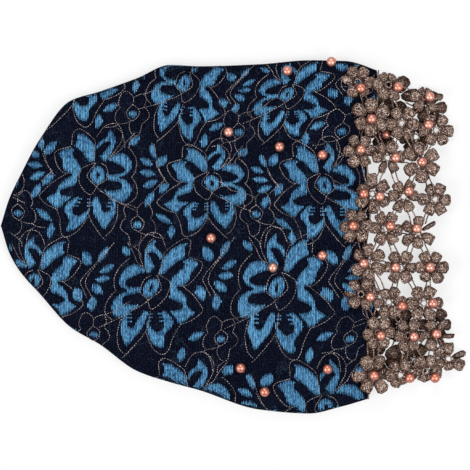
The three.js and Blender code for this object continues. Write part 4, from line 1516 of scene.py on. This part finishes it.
class TURBAN_OT_pearls(Operator):
    """Build the pearls sewn to the cloth and to the trim, with their stitches"""

    bl_idname = "turban.pearls"
    bl_label = "Pearls"

    def execute(self, context):
        look = context.scene.turban_pearls
        lacquer = pearl_material(look, shared_groups())
        thread = thread_material(context.scene.turban_threads)
        for place in ("cloth", "trim"):
            names = sorted(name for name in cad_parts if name.startswith("pearl_" + place))
            balls, stitches = pearls(names, SEEDS[place])
            settle(balls.make(place + "_pearls", lacquer), "pearl", *names)
            settle(stitches.make(place + "_pearl_stitches", thread), "lace")
        return {"FINISHED"}


class TURBAN_OT_floats(Operator):
    """Build the woven blue floats of the brocade, rib by rib, on the top and on the belly"""

    bl_idname = "turban.floats"
    bl_label = "Woven floats"

    def execute(self, context):
        look = context.scene.turban_brocade
        satin = float_material(look, shared_groups())
        ribs = float_ribs(cloth_map(), look.rib_width / MM, look.float_height / MM, SEEDS["floats"])
        for side, shapes in ribs.items():
            settle(shapes.make("floats_" + side, satin), "brocade")
        return {"FINISHED"}


class TURBAN_OT_threads(Operator):
    """Build the metallic threads drawn round the flowers and clovers"""

    bl_idname = "turban.threads"
    bl_label = "Metallic threads"

    def execute(self, context):
        look = context.scene.turban_threads
        metal = thread_material(look)
        sizes = (look.radius / MM, look.step / MM, look.lift / MM)
        threads = metallic_threads(cloth_map(), *sizes, SEEDS["threads"])
        for side, shapes in threads.items():
            settle(shapes.make("threads_" + side, metal), "brocade")
        return {"FINISHED"}


class TURBAN_OT_cloth(Operator):
    """Build the cap's own cloth as one closed double shell"""

    bl_idname = "turban.cloth"
    bl_label = "Brocade cloth"

    def execute(self, context):
        look = context.scene.turban_brocade
        cloth = make_cloth(look.wall / MM, ground_material(look, shared_groups()))
        settle(cloth, "brocade", "cap_body")
        on_it = ["floats_top", "floats_belly", "threads_top", "threads_belly"]
        on_it += ["cloth_pearls", "cloth_pearl_stitches"]
        return {"FINISHED"}


class TURBAN_OT_trim(Operator):
    """Build the guipure trim: its petals, and the cords that join its flowers"""

    bl_idname = "turban.trim"
    bl_label = "Guipure trim"

    def execute(self, context):
        look = context.scene.turban_trim
        flowers = trim_flowers()
        yarn = lace_material("lace_yarn", look, shared_groups(), look.stitch)
        cord = lace_material("lace_cord", look, shared_groups(), look.stitch * CORD_STITCH)
        cords = lace_cords(flowers, SEEDS["cords"]).make("trim_cords", cord)
        settle(cords, "lace")
        petals = lace_petals(flowers, SEEDS["petals"]).make("trim_petals", yarn)
        settle(petals, "lace", "lace_trim")
        return {"FINISHED"}


# Each light's name, place, size and share of the power
SOFT_LIGHTS = [
    ("soft_light_left", (-1.25, -0.5, 1.15), 1.1, 1.0),
    ("soft_light_right", (0.85, -0.45, 1.45), 1.1, 1.0),
    ("soft_light_back", (-0.1, 1.3, 1.2), 0.9, 0.6),
]
CAMERA_OFF_CENTRE = (0.0004, 0.0005)
CAMERA_FOCUS = 0.01  # the height of the level that the view's width is measured at


class TURBAN_OT_stage(Operator):
    """Build the pale floor, the three soft lights, the even light and the camera straight above"""

    bl_idname = "turban.stage"
    bl_label = "Stage"

    def execute(self, context):
        look = context.scene.turban_stage
        half = look.floor_size / 2
        corners = np.array([(-half, -half, 0), (half, -half, 0), (half, half, 0), (-half, half, 0)])
        pale = floor_material(look)
        mesh_object("floor", corners, np.arange(4), np.zeros(1), pale, smooth=False)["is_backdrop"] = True
        for name, (x, y, z), size, share in SOFT_LIGHTS:
            light = bpy.data.lights.new(name, "AREA")
            light.energy = look.key_power * share
            light.size = size
            lamp = bpy.data.objects.new(name, light)
            lamp.location = (x, y, z)
            lamp.rotation_euler = Vector((x, y, z)).to_track_quat("Z", "Y").to_euler()
            context.scene.collection.objects.link(lamp)
        world = bpy.data.worlds.new("studio")
        world.use_nodes = True
        n = Nodes(world.node_tree)
        seen = n.add("ShaderNodeLightPath").outputs["Is Camera Ray"]
        strength = n.spread(seen, 0.0, 1.0, look.sky, 1.0)
        n.feed(world.node_tree.nodes["Background"], Color=(1, 1, 1), Strength=strength)
        context.scene.world = world
        context.scene.view_settings.view_transform = "Standard"
        camera = bpy.data.cameras.new("camera")
        camera.lens = look.camera_height * camera.sensor_width / look.view_width
        above = bpy.data.objects.new("camera", camera)
        above.location = (*CAMERA_OFF_CENTRE, look.camera_height + CAMERA_FOCUS)
        context.scene.collection.objects.link(above)
        context.scene.camera = above
        return {"FINISHED"}


OPERATORS = (
    TURBAN_OT_pearls,
    TURBAN_OT_floats,
    TURBAN_OT_threads,
    TURBAN_OT_cloth,
    TURBAN_OT_trim,
    TURBAN_OT_stage,
)
SETTINGS = {
    "turban_brocade": BrocadeSettings,
    "turban_threads": ThreadSettings,
    "turban_trim": TrimSettings,
    "turban_pearls": PearlSettings,
    "turban_stage": StageSettings,
}


class TURBAN_PT_panel(Panel):
    """The turban cap's settings and the buttons that build it"""

    bl_idname = "TURBAN_PT_panel"
    bl_label = "Turban cap"
    bl_space_type = "VIEW_3D"
    bl_region_type = "UI"
    bl_category = "Turban"

    def draw(self, context):
        for name, kind in SETTINGS.items():
            box = self.layout.box()
            box.label(text=kind.__doc__)
            for field in kind.__annotations__:
                box.prop(getattr(context.scene, name), field)
        for operator in OPERATORS:
            self.layout.operator(operator.bl_idname)


def register():
    for name, kind in SETTINGS.items():
        bpy.utils.register_class(kind)
        setattr(bpy.types.Scene, name, PointerProperty(type=kind))
    for kind in (*OPERATORS, TURBAN_PT_panel):
        bpy.utils.register_class(kind)


def unregister():
    for kind in (TURBAN_PT_panel, *reversed(OPERATORS)):
        bpy.utils.unregister_class(kind)
    for name, kind in reversed(SETTINGS.items()):
        delattr(bpy.types.Scene, name)
        bpy.utils.unregister_class(kind)


def main():
    register()
    bpy.ops.turban.pearls()
    bpy.ops.turban.floats()
    bpy.ops.turban.threads()
    bpy.ops.turban.cloth()
    bpy.ops.turban.trim()
    bpy.ops.turban.stage()
    boxes = {"cad": cad_box, "visual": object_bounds()}
    {name: [list(corner) for corner in box] for name, box in boxes.items()}


if __name__ == "__main__":
    main()
